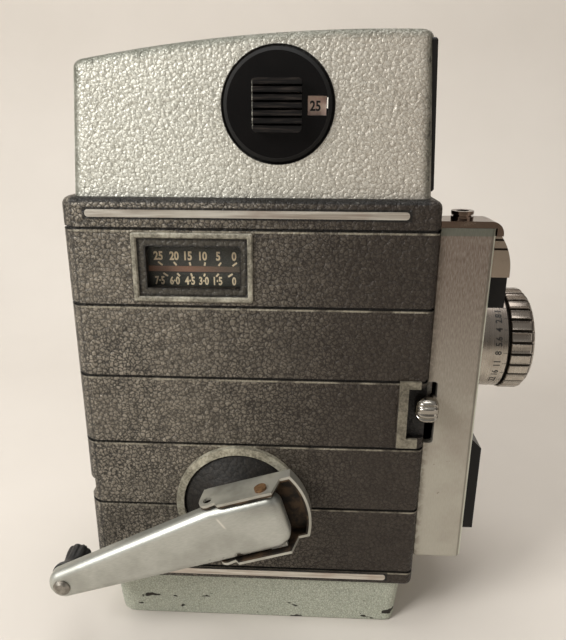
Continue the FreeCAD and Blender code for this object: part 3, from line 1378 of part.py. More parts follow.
def build_front():
    body = new_body("FrontHousing")
    side = front_side
    plan = new_sketch(body, "front_plan", "XY_Plane", front_bottom)
    rounded_rectangle(plan, (body_front, front_x), (-side, side), (0.4, 1.6, 1.6, 0.4))
    pad(body, "front_block", plan, front_top - front_bottom)
    soften(body, "Fillet", "front_foot", as_size(1.2), lambda e: level(e, front_bottom))
    # The shoulder behind the tall cheek falls away to the door side
    cheek = -side + D.cheek_width
    shoulder = new_sketch(body, "front_shoulder_sketch", "YZ_Plane", front_x + 1.0)
    outline(shoulder, [(cheek, front_top + 2.0), (cheek, shoulder_height),
                       (side + 1.0, shoulder_height - D.shoulder_drop), (side + 1.0, front_top + 2.0)])
    pocket(body, "front_shoulder", shoulder, D.front_length + 2.0)
    thin = D.front_wall
    inside = new_sketch(body, "front_inside_sketch", "XY_Plane", front_bottom + thin)
    rounded_rectangle(inside, (body_front - 1.0, front_x - thin), (-side + thin, side - thin),
                      (0.5, 0.8, 0.8, 0.5))
    low_top = shoulder_height - D.shoulder_drop - thin
    pocket(body, "front_inside", inside, low_top - front_bottom - thin, reverse=True)
    tower = new_sketch(body, "front_tower_sketch", "XY_Plane", low_top - 1.0)
    rectangle(tower, (body_front - 1.0, front_x - thin), (-side + thin, cheek - 1.6))
    pocket(body, "front_tower", tower, front_top - thin - low_top + 1.0, reverse=True)
    mouth = new_sketch(body, "front_lens_sketch", "YZ_Plane", front_x)
    circle(mouth, (D.lens_y, lens_z), lens_seat_radius)
    pocket(body, "front_lens_hole", mouth, thin)
    slot = new_sketch(body, "front_slot_sketch", "XZ_Plane", side)
    rounded_rectangle(slot, (body_front - 1.0, body_front + D.notch_length),
                      (lever_frame_bottom + 0.3, lever_frame_bottom + D.lever_frame_height - 0.9),
                      (0.3, 0.9, 0.9, 0.3))
    pocket(body, "front_slot", slot, thin)
    socket = new_sketch(body, "front_socket_sketch", "XY_Plane", front_top)
    circle(socket, (release_x, release_y), D.release_bore)
    pocket(body, "front_socket", socket, thin)
    keep("front_housing", body)

    # Polished strip over the cheek and down its front corner
    trim = new_body("FrontTrim")
    profile = new_sketch(trim, "trim_profile", "XZ_Plane", side - 0.3)
    thick = D.trim_thickness
    top = front_top + thick
    start = body_front + 0.2
    bend = 3.0
    foot = brow_bottom + D.brow_height + 0.1
    outline(profile, [(start, front_top), (front_x, front_top), (front_x, foot), (front_x + thick, foot),
                      (front_x + thick, top - bend), (front_x + thick - bend, top), (start, top)],
            {4: as_size(bend)})
    pad(trim, "trim_strip", profile, D.cheek_width - 0.6, reverse=True)
    hole = new_sketch(trim, "trim_hole_sketch", "XY_Plane", top)
    circle(hole, (release_x, release_y), D.release_bore)
    pocket(trim, "trim_hole", hole, thick)
    keep("front_trim", trim)

    collar = rod("release_collar", "z", (release_x, release_y), (top, top + D.release_proud), D.release_radius)
    groove = tube("release_groove", "z", (release_x, release_y), (top + 0.7, top + 1.2), D.release_radius + 1.0,
                  D.release_radius - 0.5)
    bore = rod("release_hole", "z", (release_x, release_y), (top - 1.0, top + 4.0), D.release_bore)
    keep("release_socket", cut("release_socket", collar, groove, bore))

    # Chrome brow above the lens, a quarter round in profile
    brow = new_body("FrontBrow")
    brow_top = brow_bottom + D.brow_height
    wide = brow_half_width
    edge = new_sketch(brow, "brow_profile", "XZ_Plane", wide)
    outline(edge, [(front_x, brow_bottom), (front_x + D.brow_proud, brow_bottom),
                   (front_x + D.brow_proud, brow_bottom + 1.6), (front_x + 1.8, brow_top), (front_x, brow_top)],
            {2: D.brow_radius})
    pad(brow, "brow_block", edge, wide * 2, reverse=True)
    keep("front_brow", brow)

    block = box("panel_block", (front_x, front_x + D.panel_proud), (-wide, wide), (panel_bottom, brow_bottom))
    room = rod("panel_lens_room", "x", (D.lens_y, lens_z), (front_x - 1.0, front_x + 10.0),
               D.lens_radius + 0.6)
    keep("front_panel", cut("front_panel", block, room))

    plate = new_body("FrontPlate")
    shape = new_sketch(plate, "plate_profile", "XZ_Plane", wide)
    high = plate_bottom + D.plate_height
    proud = D.plate_proud
    outline(shape, [(front_x, plate_bottom), (front_x + proud, plate_bottom), (front_x + proud, high - proud),
                    (front_x, high)])
    pad(plate, "plate_block", shape, wide * 2, reverse=True)
    keep("front_plate", plate)


lens_seat_radius = D.spigot_radius


def build_lens():
    axis = (D.lens_y, lens_z)
    thin = D.front_wall
    body = new_body("LensBarrel")
    half = new_sketch(body, "barrel_profile", "XZ_Plane")
    seat = lens_seat_radius - 0.02
    rear = D.rear_lens_radius
    bore = D.lens_bore
    spigot = D.spigot_radius
    start = ring_start - 0.5
    outline(half, [
        (front_x - thin, rear - 1.0), (front_x - thin + 1.0, rear - 1.0), (front_x - thin + 1.0, rear),
        (front_x + 5.0, rear), (front_x + 5.0, bore), (ring_start + 4.0, bore), (ring_start + 4.0, spigot),
        (start, spigot), (start, D.barrel_radius - 0.4), (start - 0.4, D.barrel_radius),
        (front_x, D.barrel_radius), (front_x, seat), (front_x - thin, seat)])
    spin(body, "Revolution", "barrel_turning", half, "H_Axis")
    place(body, 0.0, D.lens_y, lens_z)
    keep("lens_barrel", body)

    ring = new_body("LensRing")
    profile = new_sketch(ring, "ring_profile", "XZ_Plane")
    back = ring_start
    end = ring_start + D.ring_length
    loose = spigot + D.running_gap
    radius = D.lens_radius
    outline(profile, [
        (back, loose), (back + 4.4, loose), (back + 4.4, bore), (end - 0.6, bore), (end, bore + 0.9),
        (end, radius - 1.6), (end - 1.0, radius - 0.6), (end - 1.4, radius), (back, radius)])
    spin(ring, "Revolution", "ring_turning", profile, "H_Axis")
    flute = new_sketch(ring, "ring_groove_sketch", "YZ_Plane", end)
    deep = D.ring_groove_depth
    outline(flute, [(-0.55, radius + 0.3), (-0.35, radius - deep), (0.35, radius - deep), (0.55, radius + 0.3)])
    groove = pocket(ring, "ring_groove", flute, D.ring_length)
    repeat_round(ring, "ring_grooves", groove, "X_Axis", D.ring_grooves)
    place(ring, 0.0, D.lens_y, lens_z)
    keep("focus_ring", ring)

    glass = new_body("FrontLens")
    section = new_sketch(glass, "front_lens_profile", "XZ_Plane")
    seat_x = back + 4.4
    outline(section, [(seat_x - 0.3, 0.0), (seat_x - 0.3, bore - 0.03), (seat_x + 1.0, bore - 0.03),
                      (seat_x + 2.4, 0.0)])
    spin(glass, "Revolution", "front_lens_turning", section, "H_Axis")
    place(glass, 0.0, D.lens_y, lens_z)
    keep("front_lens", glass)
    keep("rear_lens", rod("rear_glass", "x", axis, (front_x - thin + 1.0, front_x + 3.0), D.rear_lens_radius))


def build_lever():
    body = new_body("LeverFrame")
    x = (body_front - D.lever_frame_length, body_front - D.front_corner)
    z = (lever_frame_bottom, lever_frame_bottom + D.lever_frame_height)
    face = new_sketch(body, "lever_frame_sketch", "XZ_Plane", -side_y)
    slot_z = (lever_slot_bottom, lever_slot_bottom + D.lever_slot_height)
    inner = body_front - D.lever_recess
    outline(face, [(x[0], z[0]), (x[1], z[0]), (x[1], slot_z[0]), (inner, slot_z[0]), (inner, slot_z[1]),
                   (x[1], slot_z[1]), (x[1], z[1]), (x[0], z[1])])
    pad(body, "lever_frame", face, D.counter_proud)
    keep("lever_frame", body)

    lever = new_body("RunLever")
    low = lever_bottom
    top = low + D.lever_height
    out = side_y - D.lever_rise
    thumb = new_sketch(lever, "lever_thumb_sketch", "XY_Plane", low)
    start = body_front - 3.4
    end = start + D.lever_length
    stem = body_front + 0.5
    outline(thumb, [(start, side_y - 1.0), (stem, side_y - 1.0), (stem, -front_side - 0.4),
                    (end, -front_side - 0.4), (end, out + 2.2), (end - 2.2, out), (start + 1.2, out),
                    (start, out + 1.2)], {4: as_size(2.2)})
    pad(lever, "lever_thumb", thumb, D.lever_height)
    stem_sketch = new_sketch(lever, "lever_stem_sketch", "XZ_Plane", front_side + 0.4)
    rectangle(stem_sketch, (stem, stem + 1.7), (low + 2.0, top - 2.2))
    pad(lever, "lever_stem", stem_sketch, D.front_wall + 2.4, reverse=True)
    ribs = int(D.lever_ribs.value)
    pitch = D.lever_height / ribs
    valley = new_sketch(lever, "lever_valley_sketch", "YZ_Plane", end + 1.0)
    outline(valley, [(out - 0.1, low + pitch - 0.5), (out + 0.7, low + pitch), (out - 0.1, low + pitch + 0.5)])
    first = pocket(lever, "lever_valley", valley, D.lever_length + 2.0)
    repeat_along(lever, "lever_ribs", first, "Z_Axis", pitch * (ribs - 2), ribs - 1)
    keep("run_lever", lever)

    # Bar inside the cheek, from the lever up to the cable release
    back = -front_side + D.front_wall
    bar_y = (back + 2.0, back + 3.8)
    bar_x = (stem, stem + 1.7)
    step_z = (front_top - D.release_bar_drop - 2.0, front_top - D.release_bar_drop)
    upright = box("bar_upright", bar_x, bar_y, (low + 1.0, step_z[1]))
    step = box("bar_step", (bar_x[0], release_x + 1.0), bar_y, step_z)
    push_top = front_top - D.front_wall - 0.4
    push = box("bar_push", (release_x - 1.0, release_x + 1.0), bar_y, (step_z[0], push_top))
    keep("release_bar", join("release_bar", upright, step, push))


def build_trim_strips():
    body = new_body("TrimStrips")
    face = new_sketch(body, "trim_strips_sketch", "XZ_Plane", -side_y)
    strip_x = (body_rear + D.strip_rear_margin, body_front - D.strip_front_margin)
    upper_z = (body_top - D.strip_drop - D.strip_width, body_top - D.strip_drop)
    end = D.strip_width / 2 - 0.05
    rounded_rectangle(face, strip_x, upper_z, (end, end, end, end))
    pad(body, "trim_upper", face, D.strip_thickness)
    keep("trim_strip_upper", body)
    lower = new_body("TrimStripLow")
    low_face = new_sketch(lower, "trim_low_sketch", "XZ_Plane", -side_y)
    lower_z = (body_bottom + D.strip_rise, body_bottom + D.strip_rise + D.strip_width)
    rounded_rectangle(low_face, strip_x, lower_z, (end, end, end, end))
    pad(lower, "trim_lower", low_face, D.strip_thickness)
    keep("trim_strip_lower", lower)


# Crank frame: local x runs along the folded crank, local z straight out from the side
CRANK_TURN = Rotation(Vector(0, -1, 0), D.crank_slope.value) * Rotation(Vector(1, 0, 0), 90)


def place_on_crank(target):
    target.Placement = FreeCAD.Placement(Vector(), CRANK_TURN)
    bind(target, Placement__Base__x=D.hub_x, Placement__Base__y=side_y, Placement__Base__z=hub_z)


def build_crank_seat():
    ring_y = (side_y - D.ring_proud, side_y)
    inner = D.ring_radius - D.ring_band
    keep("crank_ring", tube("crank_ring", "y", hub, ring_y, D.ring_radius, inner))
    dome = cone("boss_dome", "y", hub, (side_y - D.boss_rise, side_y - 0.6), (D.boss_top_radius, inner))
    rim = rod("boss_rim", "y", hub, (side_y - 0.6, side_y), inner)
    spigot = rod("boss_spigot", "y", hub, (side_y, inner_side_y), D.arbor_radius + 1.0)
    bore = rod("boss_bore", "y", hub, (side_y - 10.0, side_y + 10.0), D.arbor_radius + D.running_gap)
    keep("crank_boss", cut("crank_boss", join("boss_solid", dome, rim, spigot), bore))


def build_crank_bracket():
    body = new_body("CrankBracket")
    sheet_t = D.crank_sheet
    ear = D.ear_v
    rim = D.crank_rim_radius
    reach = Size(math.sqrt(rim.value ** 2 - ear.value ** 2), f"sqrt({rim.text}^2 - {ear.text}^2)")
    base = new_sketch(body, "bracket_base_sketch", "XY_Plane", D.crank_base_w)
    back = -8.0
    outline(base, [(back, -ear + 3.0), (back + 3.0, -ear), (reach, -ear), (reach, ear), (back + 3.0, ear),
                   (back, ear - 3.0)], {0: as_size(3.0), 2: rim, 4: as_size(3.0)})
    pad(body, "bracket_base", base, sheet_t)
    floor = D.crank_base_w + sheet_t
    wall = new_sketch(body, "bracket_rim_sketch", "XY_Plane", floor)
    thin = rim - sheet_t
    inner_reach = Size(math.sqrt(thin.value ** 2 - ear.value ** 2), f"sqrt({thin.text}^2 - {ear.text}^2)")
    outer_points = [(inner_reach, -ear), (reach, -ear), (reach, ear), (inner_reach, ear)]
    outline(wall, outer_points, {1: rim})
    rim_block = pad(body, "bracket_rim", wall, D.crank_rim_w - floor)
    clear = new_sketch(body, "bracket_clear_sketch", "XY_Plane", D.crank_rim_w)
    reach = clear_reach(thin, ear)
    outline(clear, [(0.0, -ear - 1.0), (reach, -ear - 1.0), (reach, ear + 1.0), (0.0, ear + 1.0)], {1: thin})
    pocket(body, "bracket_clear", clear, D.crank_rim_w - floor)
    # The two ears, one outline cut from both side walls, each running on into the rim
    join_u = inner_reach + 1.2
    for name, offset in (("bracket_upper_ear", -ear), ("bracket_lower_ear", ear - sheet_t)):
        flank = new_sketch(body, name + "_sketch", "XZ_Plane", offset)
        low = D.crank_base_w + 0.2
        top = D.ear_top_w
        outline(flank, [
            (-6.4, low), (join_u, low), (join_u, D.crank_rim_w), (D.ear_front_u + 1.8, D.crank_rim_w),
            (D.ear_front_u, top), (D.ear_rear_u, top), (-2.6, 12.6), (-4.6, 13.1), (-6.9, 10.8),
            (-6.9, 9.6)], {7: as_size(2.3)})
        pad(body, name, flank, sheet_t)
    pin = new_sketch(body, "bracket_pin_sketch", "XZ_Plane", ear + 1.0)
    circle(pin, (D.pin_u, D.pin_w), D.hinge_pin_radius)
    circle(pin, (-4.6, 10.8), 1.2)
    pocket(body, "bracket_holes", pin, ear * 2 + 2.0)
    place_on_crank(body)
    keep("crank_bracket", body)

    hinge = new_body("CrankPin")
    shank = new_sketch(hinge, "crank_pin_sketch", "XZ_Plane", -ear - 0.6)
    circle(shank, (D.pin_u, D.pin_w), D.hinge_pin_radius)
    pad(hinge, "crank_pin_shank", shank, ear * 2 + 1.2)
    for name, offset in (("crank_pin_low_head", ear), ("crank_pin_high_head", -ear - 0.7)):
        head = new_sketch(hinge, name + "_sketch", "XZ_Plane", offset)
        circle(head, (D.pin_u, D.pin_w), 1.6)
        pad(hinge, name, head, 0.7)
    place_on_crank(hinge)
    keep("crank_hinge_pin", hinge)


def clear_reach(radius, ear):
    wide = ear + 1.0
    return Size(math.sqrt(radius.value ** 2 - wide.value ** 2), f"sqrt({radius.text}^2 - {wide.text}^2)")


# The arm's outline, drawn in by the sheet's thickness for its hollow underside
def arm_outline(sketch, inset):
    thin = as_size(inset)
    half = D.arm_half_width - thin
    corner = as_size(4.4) - thin
    tail = D.arm_tail_u - thin
    end = D.knob_end_radius - thin
    foot = D.knob_v - end
    tip = (D.knob_u - end * sine(D.arm_taper), D.knob_v + end * cosine(D.arm_taper))
    points = [
        (D.knob_u, foot), (tail - corner, -half), (tail, -half + corner), (tail, half - corner + 1.0),
        (tail - corner + 1.0, half), (D.arm_shoulder_u, half), tip]
    arcs = {1: corner, 3: corner - 1.0, 6: end}
    outline(sketch, points, arcs)


def build_crank_arm():
    body = new_body("CrankArm")
    sheet_t = D.crank_sheet
    top = D.ear_top_w
    low = top - D.arm_depth
    outer = new_sketch(body, "arm_outline_sketch", "XY_Plane", low)
    arm_outline(outer, 0.0)
    pad(body, "arm_block", outer, D.arm_depth)
    soften(body, "Fillet", "arm_round", as_size(2.4), lambda e: level(e, top))
    inner = new_sketch(body, "arm_hollow_sketch", "XY_Plane", low)
    arm_outline(inner, sheet_t)
    pocket(body, "arm_hollow", inner, D.arm_depth - sheet_t, reverse=True)
    half = D.arm_half_width
    lug_radius = 2.2
    for name, offset in (("arm_upper_lug", -half), ("arm_lower_lug", half - sheet_t)):
        lug = new_sketch(body, name + "_sketch", "XZ_Plane", offset)
        reach = as_size(lug_radius)
        outline(lug, [(D.pin_u - reach, D.pin_w), (D.pin_u, D.pin_w - reach), (D.pin_u + reach, D.pin_w),
                      (D.pin_u + reach, top - sheet_t), (D.pin_u - reach, top - sheet_t)], {0: reach, 1: reach})
        pad(body, name, lug, sheet_t)
    hole = new_sketch(body, "arm_pin_sketch", "XZ_Plane", half + 1.0)
    circle(hole, (D.pin_u, D.pin_w), D.hinge_pin_radius + D.running_gap)
    pocket(body, "arm_pin_hole", hole, half * 2 + 2.0)
    rivet = new_sketch(body, "arm_rivet_sketch", "XY_Plane", top)
    circle(rivet, (D.knob_u, D.knob_v), D.rivet_radius)
    pocket(body, "arm_rivet_hole", rivet, D.arm_depth)
    place_on_crank(body)
    keep("crank_arm", body)

    # Knob on its rivet, hanging past the body's rear edge when folded
    foot = low - 0.3
    tip = foot - D.knob_length
    shank = new_body("KnobRivet")
    pin = new_sketch(shank, "rivet_profile", "XZ_Plane")
    radius = D.rivet_radius
    outline(pin, [(0.0, tip + 0.4), (2.2, tip + 0.4), (2.2, tip + 1.2), (radius, tip + 1.2), (radius, top),
                  (2.3, top), (2.3, top + 0.3), (1.5, top + 0.9), (0.0, top + 0.9)])
    spin(shank, "Revolution", "rivet_turning", pin, "V_Axis")
    knob = new_body("CrankKnob")
    profile = new_sketch(knob, "knob_profile", "XZ_Plane")
    bore = radius + D.running_gap
    outline(profile, [
        (bore, tip + 1.4), (2.4, tip + 1.4), (2.4, tip), (D.knob_tip_radius - 0.6, tip),
        (D.knob_tip_radius, tip + 0.8),
        (D.knob_tip_radius - 0.1, tip + 3.4), (D.knob_waist_radius, foot - 4.4),
        (D.knob_waist_radius + 0.2, foot - 2.6), (D.knob_foot_radius, foot - 1.0),
        (D.knob_foot_radius, foot - 0.2), (bore, foot - 0.2)])
    spin(knob, "Revolution", "knob_turning", profile, "V_Axis")
    flute = new_sketch(knob, "knob_flute_sketch", "XY_Plane", tip)
    circle(flute, (D.knob_tip_radius + 0.4, 0.0), 0.7)
    first = pocket(knob, "knob_flute", flute, D.knob_length / 2, reverse=True)
    repeat_round(knob, "knob_flutes", first, "Z_Axis", D.knob_flutes)
    slope = D.crank_slope
    for piece, label in ((shank, "knob_rivet"), (knob, "crank_knob")):
        piece.Placement = FreeCAD.Placement(Vector(), CRANK_TURN)
        bind(piece, Placement__Base__x=D.hub_x + D.knob_u * cosine(slope) - D.knob_v * sine(slope),
             Placement__Base__y=side_y,
             Placement__Base__z=hub_z + D.knob_u * sine(slope) + D.knob_v * cosine(slope))
        keep(label, piece)


def check_and_write():
    doc.recompute()
    for item in doc.Objects:
        if "Invalid" in item.State or "Error" in item.State:
            raise RuntimeError(f"{item.Name} is {item.State}")
    for label, item in sub_parts.items():
        if item.Shape.isNull() or not item.Shape.isValid():
            raise RuntimeError(f"{label} has no valid shape")
    os.makedirs("parts", exist_ok=True)
    for label, item in sub_parts.items():
        item.Shape.exportStep(f"parts/{label}.step")
        shape = item.Shape
        print(f"{label}: {len(shape.Solids)} solid, {shape.Volume / 1000:.2f} cm3")


build_body_shell()
build_film_door()
build_hinge_and_latch()
build_base()
build_top_housing()
build_front_window()
build_meter()
build_dial()
build_counter()
build_plate()
build_motor()
build_train()
build_film_path()
build_front()
build_lens()
build_lever()
build_trim_strips()
build_crank_seat()
build_crank_bracket()
build_crank_arm()
check_and_write()
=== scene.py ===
# %% [markdown]
# # A spring-wound movie camera in hammered paint
# The camera comes from CAD as solids that already fit and move. This lesson gives it its looks: the
# hammered paints, the pressed aluminium, the turned chrome, and the few pieces that a solid model
# leaves out, such as printed numbers. Every piece is placed in the camera's own frame: X runs
# forward along the lens, Z goes up, and the crank side faces -Y.

import bmesh
import bpy
import numpy as np
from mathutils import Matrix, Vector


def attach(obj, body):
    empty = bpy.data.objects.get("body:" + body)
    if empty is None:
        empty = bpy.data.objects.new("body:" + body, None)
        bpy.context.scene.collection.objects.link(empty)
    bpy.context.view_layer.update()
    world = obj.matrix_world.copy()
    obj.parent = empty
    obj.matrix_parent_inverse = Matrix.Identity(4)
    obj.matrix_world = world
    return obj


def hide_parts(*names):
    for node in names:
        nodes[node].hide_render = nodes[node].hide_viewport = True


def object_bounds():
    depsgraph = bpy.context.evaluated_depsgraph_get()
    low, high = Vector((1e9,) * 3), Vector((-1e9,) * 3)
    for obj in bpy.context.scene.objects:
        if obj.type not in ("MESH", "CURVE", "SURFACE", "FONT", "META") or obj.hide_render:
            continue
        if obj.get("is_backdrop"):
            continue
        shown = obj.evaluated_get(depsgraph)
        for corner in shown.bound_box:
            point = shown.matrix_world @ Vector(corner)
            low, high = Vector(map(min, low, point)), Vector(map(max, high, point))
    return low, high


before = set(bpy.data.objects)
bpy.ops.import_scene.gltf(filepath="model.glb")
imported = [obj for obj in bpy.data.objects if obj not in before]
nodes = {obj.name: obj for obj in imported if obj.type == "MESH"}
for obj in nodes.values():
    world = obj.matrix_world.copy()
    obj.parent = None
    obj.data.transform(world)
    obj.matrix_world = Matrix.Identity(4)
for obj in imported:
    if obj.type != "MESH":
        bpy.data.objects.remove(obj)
cad_box = [list(corner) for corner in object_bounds()]
MM = 0.001

# %% [markdown]
# ## Where the photographer stood
# The view is set first, because every later choice is judged through it. A phone held close gives a
# short lens and strong perspective, so the top housing leans away. The place and the turn of the
# camera were solved from corners whose real distances the solids give.

# %% Camera
def aim(name, spot, forward, down, lens):
    """A camera at spot in millimetres, whose axes are the crosses of forward and down."""
    forward = np.array(forward) / np.linalg.norm(forward)
    right = np.cross(np.array(down), forward)
    right /= np.linalg.norm(right)
    upward = np.cross(right, forward)
    data = bpy.data.cameras.new(name)
    data.sensor_width = 36.0
    data.lens = lens
    data.clip_start = 0.01
    camera = bpy.data.objects.new(name, data)
    pose = np.eye(4)
    pose[:3, 0], pose[:3, 1], pose[:3, 2] = right, upward, -forward
    pose[:3, 3] = np.array(spot) * MM
    camera.matrix_world = pose.T.tolist()
    bpy.context.scene.collection.objects.link(camera)
    return camera


bpy.context.scene.camera = aim(
    "photographer", spot=(13.94, -170.21, 142.75), forward=(-0.0425, 0.9497, -0.3101),
    down=(0.0183, -0.3096, -0.9507), lens=33.75)
print("camera at", [round(v, 4) for v in bpy.context.scene.camera.matrix_world.translation])

# %% [markdown]
# ## Surfaces from two parameters
# A turned knob, a lens ring and a studio floor are all one idea: a grid of points worked out from
# two parameters, skinned with four-sided faces. Modelling them by hand would hide the formula, so
# one helper takes the finished grid of points and does the skinning.

# %% Skin a grid of points
def skin(name, points, around=False, along=False, smooth=True):
    """A mesh over points[row, column, 3] in millimetres. around joins the last column to the first,
    and along joins the last row to the first, so a ring of rings closes into a torus."""
    rows, columns, _ = points.shape
    row = np.arange(rows if along else rows - 1)
    column = np.arange(columns if around else columns - 1)
    low, left = np.meshgrid(row, column, indexing="ij")
    high, right = (low + 1) % rows, (left + 1) % columns
    corners = (low * columns + left, low * columns + right, high * columns + right, high * columns + left)
    faces = np.stack(corners, axis=-1).reshape(-1, 4)
    mesh = bpy.data.meshes.new(name)
    mesh.from_pydata((points.reshape(-1, 3) * MM).tolist(), [], faces.tolist())
    mesh.polygons.foreach_set("use_smooth", np.full(len(faces), smooth))
    piece = bpy.data.objects.new(name, mesh)
    bpy.context.scene.collection.objects.link(piece)
    return piece


def eased(ends, radius, steps=4):
    """A closed profile with each corner cut by a quadratic curve: corner points are blended with
    their neighbours, (1-t)^2 of the way in, 2t(1-t) of the corner, t^2 of the way out."""
    ends = np.array(ends, float)
    radius = np.broadcast_to(np.array(radius, float), (len(ends),))[:, None]
    back = np.roll(ends, 1, axis=0) - ends
    ahead = np.roll(ends, -1, axis=0) - ends
    back_length = np.linalg.norm(back, axis=1, keepdims=True)
    ahead_length = np.linalg.norm(ahead, axis=1, keepdims=True)
    start = ends + back / back_length * np.minimum(radius, back_length * 0.45)
    finish = ends + ahead / ahead_length * np.minimum(radius, ahead_length * 0.45)
    t = np.linspace(0.0, 1.0, steps)[None, :, None]
    curve = (1 - t) ** 2 * start[:, None] + 2 * t * (1 - t) * ends[:, None] + t ** 2 * finish[:, None]
    return curve.reshape(-1, 2)


def outward(piece):
    """Turns a closed piece's faces outward, after points in one place are made one."""
    shell = bmesh.new()
    shell.from_mesh(piece.data)
    bmesh.ops.remove_doubles(shell, verts=shell.verts, dist=1e-7)
    bmesh.ops.recalc_face_normals(shell, faces=shell.faces)
    shell.to_mesh(piece.data)
    shell.free()
    return piece


corner = eased([(0.0, 0.0), (4.0, 0.0), (4.0, 4.0)], 1.0)[:4]
print("a corner eased by 1 mm:", corner.round(2).tolist())

# %% [markdown]
# ## Sums that become shader nodes
# A finish is arithmetic on a place: how far from an edge, how deep in a crease. Wiring hundreds of
# nodes by hand hides that arithmetic. Here one small class wraps a socket and overloads the
# operators, so that `1 - wear` adds the node it needs.

# %% Readings
class Reading:
    """A number, direction or colour that changes over a surface: one socket that sums can use."""

    def __init__(self, recipe, socket):
        self.recipe = recipe
        self.socket = socket

    def __add__(self, other):
        return self.recipe.sum("ADD", self, other)

    def __radd__(self, other):
        return self.recipe.sum("ADD", other, self)

    def __sub__(self, other):
        return self.recipe.sum("SUBTRACT", self, other)

    def __rsub__(self, other):
        return self.recipe.sum("SUBTRACT", other, self)

    def __mul__(self, other):
        return self.recipe.sum("MULTIPLY", self, other)

    def __rmul__(self, other):
        return self.recipe.sum("MULTIPLY", other, self)

    def __truediv__(self, other):
        return self.recipe.sum("DIVIDE", self, other)

    def __pow__(self, other):
        return self.recipe.sum("POWER", self, other)

    def __abs__(self):
        return self.recipe.node("ShaderNodeMath", {"operation": "ABSOLUTE"}, {0: self})

    def least(self, other):
        """The smaller of the two, which is where two masks overlap."""
        return self.recipe.sum("MINIMUM", self, other)

    def most(self, other):
        """The larger of the two, which joins two masks."""
        return self.recipe.sum("MAXIMUM", self, other)

    def rise(self, low, high):
        """0 below low, 1 above high, and a smooth step between. Where low is the larger, it falls."""
        settings = {"interpolation_type": "SMOOTHSTEP"}
        inputs = {"Value": self, "From Min": low, "From Max": high, "To Min": 0.0, "To Max": 1.0}
        return self.recipe.node("ShaderNodeMapRange", settings, inputs)


def shade(red, green, blue):
    """A colour named by its screen values, 0 to 255, as the linear numbers a shader wants."""
    value = np.array([red, green, blue]) / 255.0
    linear = np.where(value <= 0.04045, value / 12.92, ((value + 0.055) / 1.055) ** 2.4)
    return (*linear.tolist(), 1.0)


print("half grey on a screen is", round(shade(128, 128, 128)[0], 3), "in a shader")

# %% [markdown]
# ## Recipes and finishes
# A recipe adds nodes to one tree, and knows how to sum and to blend. A finish is the recipe of one
# material. It starts from Object coordinates, scaled so that every size in a formula is in
# millimetres, and it ends in one shader.

# %% Recipes and finishes
class Recipe:
    """Nodes being added to one tree, for a material or for the air of the room."""

    def __init__(self, tree):
        self.tree = tree
        tree.nodes.clear()

    def node(self, kind, settings, inputs, output=0):
        """Adds any node: its settings first, then its inputs, which are values or readings."""
        made = self.tree.nodes.new(kind)
        for key, value in settings.items():
            setattr(made, key, value)
        for key, value in inputs.items():
            if isinstance(value, Reading):
                self.tree.links.new(value.socket, made.inputs[key])
            else:
                made.inputs[key].default_value = value
        return Reading(self, made.outputs[output]) if made.outputs else None

    def sum(self, operation, first, second):
        """One operation on two numbers, or on vectors as soon as one of the two is a vector."""
        readings = [value for value in (first, second) if isinstance(value, Reading)]
        if all(reading.socket.type == "VALUE" for reading in readings):
            return self.node("ShaderNodeMath", {"operation": operation}, {0: first, 1: second})
        pair = [value if isinstance(value, (Reading, tuple)) else (value,) * 3 for value in (first, second)]
        return self.node("ShaderNodeVectorMath", {"operation": operation}, {0: pair[0], 1: pair[1]})

    def blend(self, first, second, amount):
        """A colour part of the way from first to second, through the node's colour sockets, 6 and 7."""
        settings = {"data_type": "RGBA", "clamp_result": True}
        return self.node("ShaderNodeMix", settings, {0: amount, 6: first, 7: second}, 2)


class Finish(Recipe):
    """One material being mixed from readings of places on the camera, in millimetres."""

    def __init__(self, name):
        self.material = bpy.data.materials.new(name)
        self.material.use_nodes = True
        super().__init__(self.material.node_tree)
        spot = self.node("ShaderNodeTexCoord", {}, {}, "Object")
        self.place = self.node("ShaderNodeVectorMath", {"operation": "SCALE"}, {0: spot, "Scale": 1 / MM})
        self.x, self.y, self.z = (
            self.node("ShaderNodeSeparateXYZ", {}, {0: self.place}, axis) for axis in range(3))

    def noise(self, size, detail, stretch=(1.0, 1.0, 1.0), place=None, shift=0.0, output=0):
        """Cloudy values from 0 to 1 in patches of about size millimetres, drawn out by stretch."""
        spot = (place or self.place) / tuple(stretch)
        if shift:
            spot = spot + shift
        inputs = {"Vector": spot, "Scale": 1.0 / size, "Detail": detail, "Roughness": 0.55}
        return self.node("ShaderNodeTexNoise", {}, inputs, output)

    def cells(self, size, feature, place, output=0):
        """Cells about scattered points, size millimetres apart: feature says which distance is read."""
        inputs = {"Vector": place, "Scale": 1.0 / size}
        return self.node("ShaderNodeTexVoronoi", {"feature": feature}, inputs, output)

    def dented(self, height, strength):
        """Bends the light as if the surface stood height millimetres proud."""
        return self.node("ShaderNodeBump", {}, {"Strength": strength, "Distance": MM, "Height": height})

    def from_axis(self, axis, centre):
        """The distance from a shaft along x, y or z that passes through centre."""
        across = [value for letter, value in zip("xyz", (self.x, self.y, self.z)) if letter != axis]
        square = sum((value - middle) * (value - middle) for value, middle in zip(across, centre))
        return square ** 0.5

    def inward(self, low, high):
        """How far in from the faces of the box low..high a place lies, along x, y and z."""
        places = zip((self.x, self.y, self.z), low, high)
        return [(b - a) / 2 - abs(value - (a + b) / 2) for value, a, b in places]

    def done(self, colour, roughness, metallic=0.0, normal=None, **constant):
        """Ends the material in one shader; constant holds the sockets that stay the same."""
        inputs = {"Base Color": colour, "Roughness": roughness, "Metallic": metallic}
        if normal is not None:
            inputs["Normal"] = normal
        inputs.update({key.replace("_", " ").title().replace("Ior", "IOR"): value
                       for key, value in constant.items()})
        shader = self.node("ShaderNodeBsdfPrincipled", {}, inputs)
        self.node("ShaderNodeOutputMaterial", {}, {"Surface": shader})
        return self.material


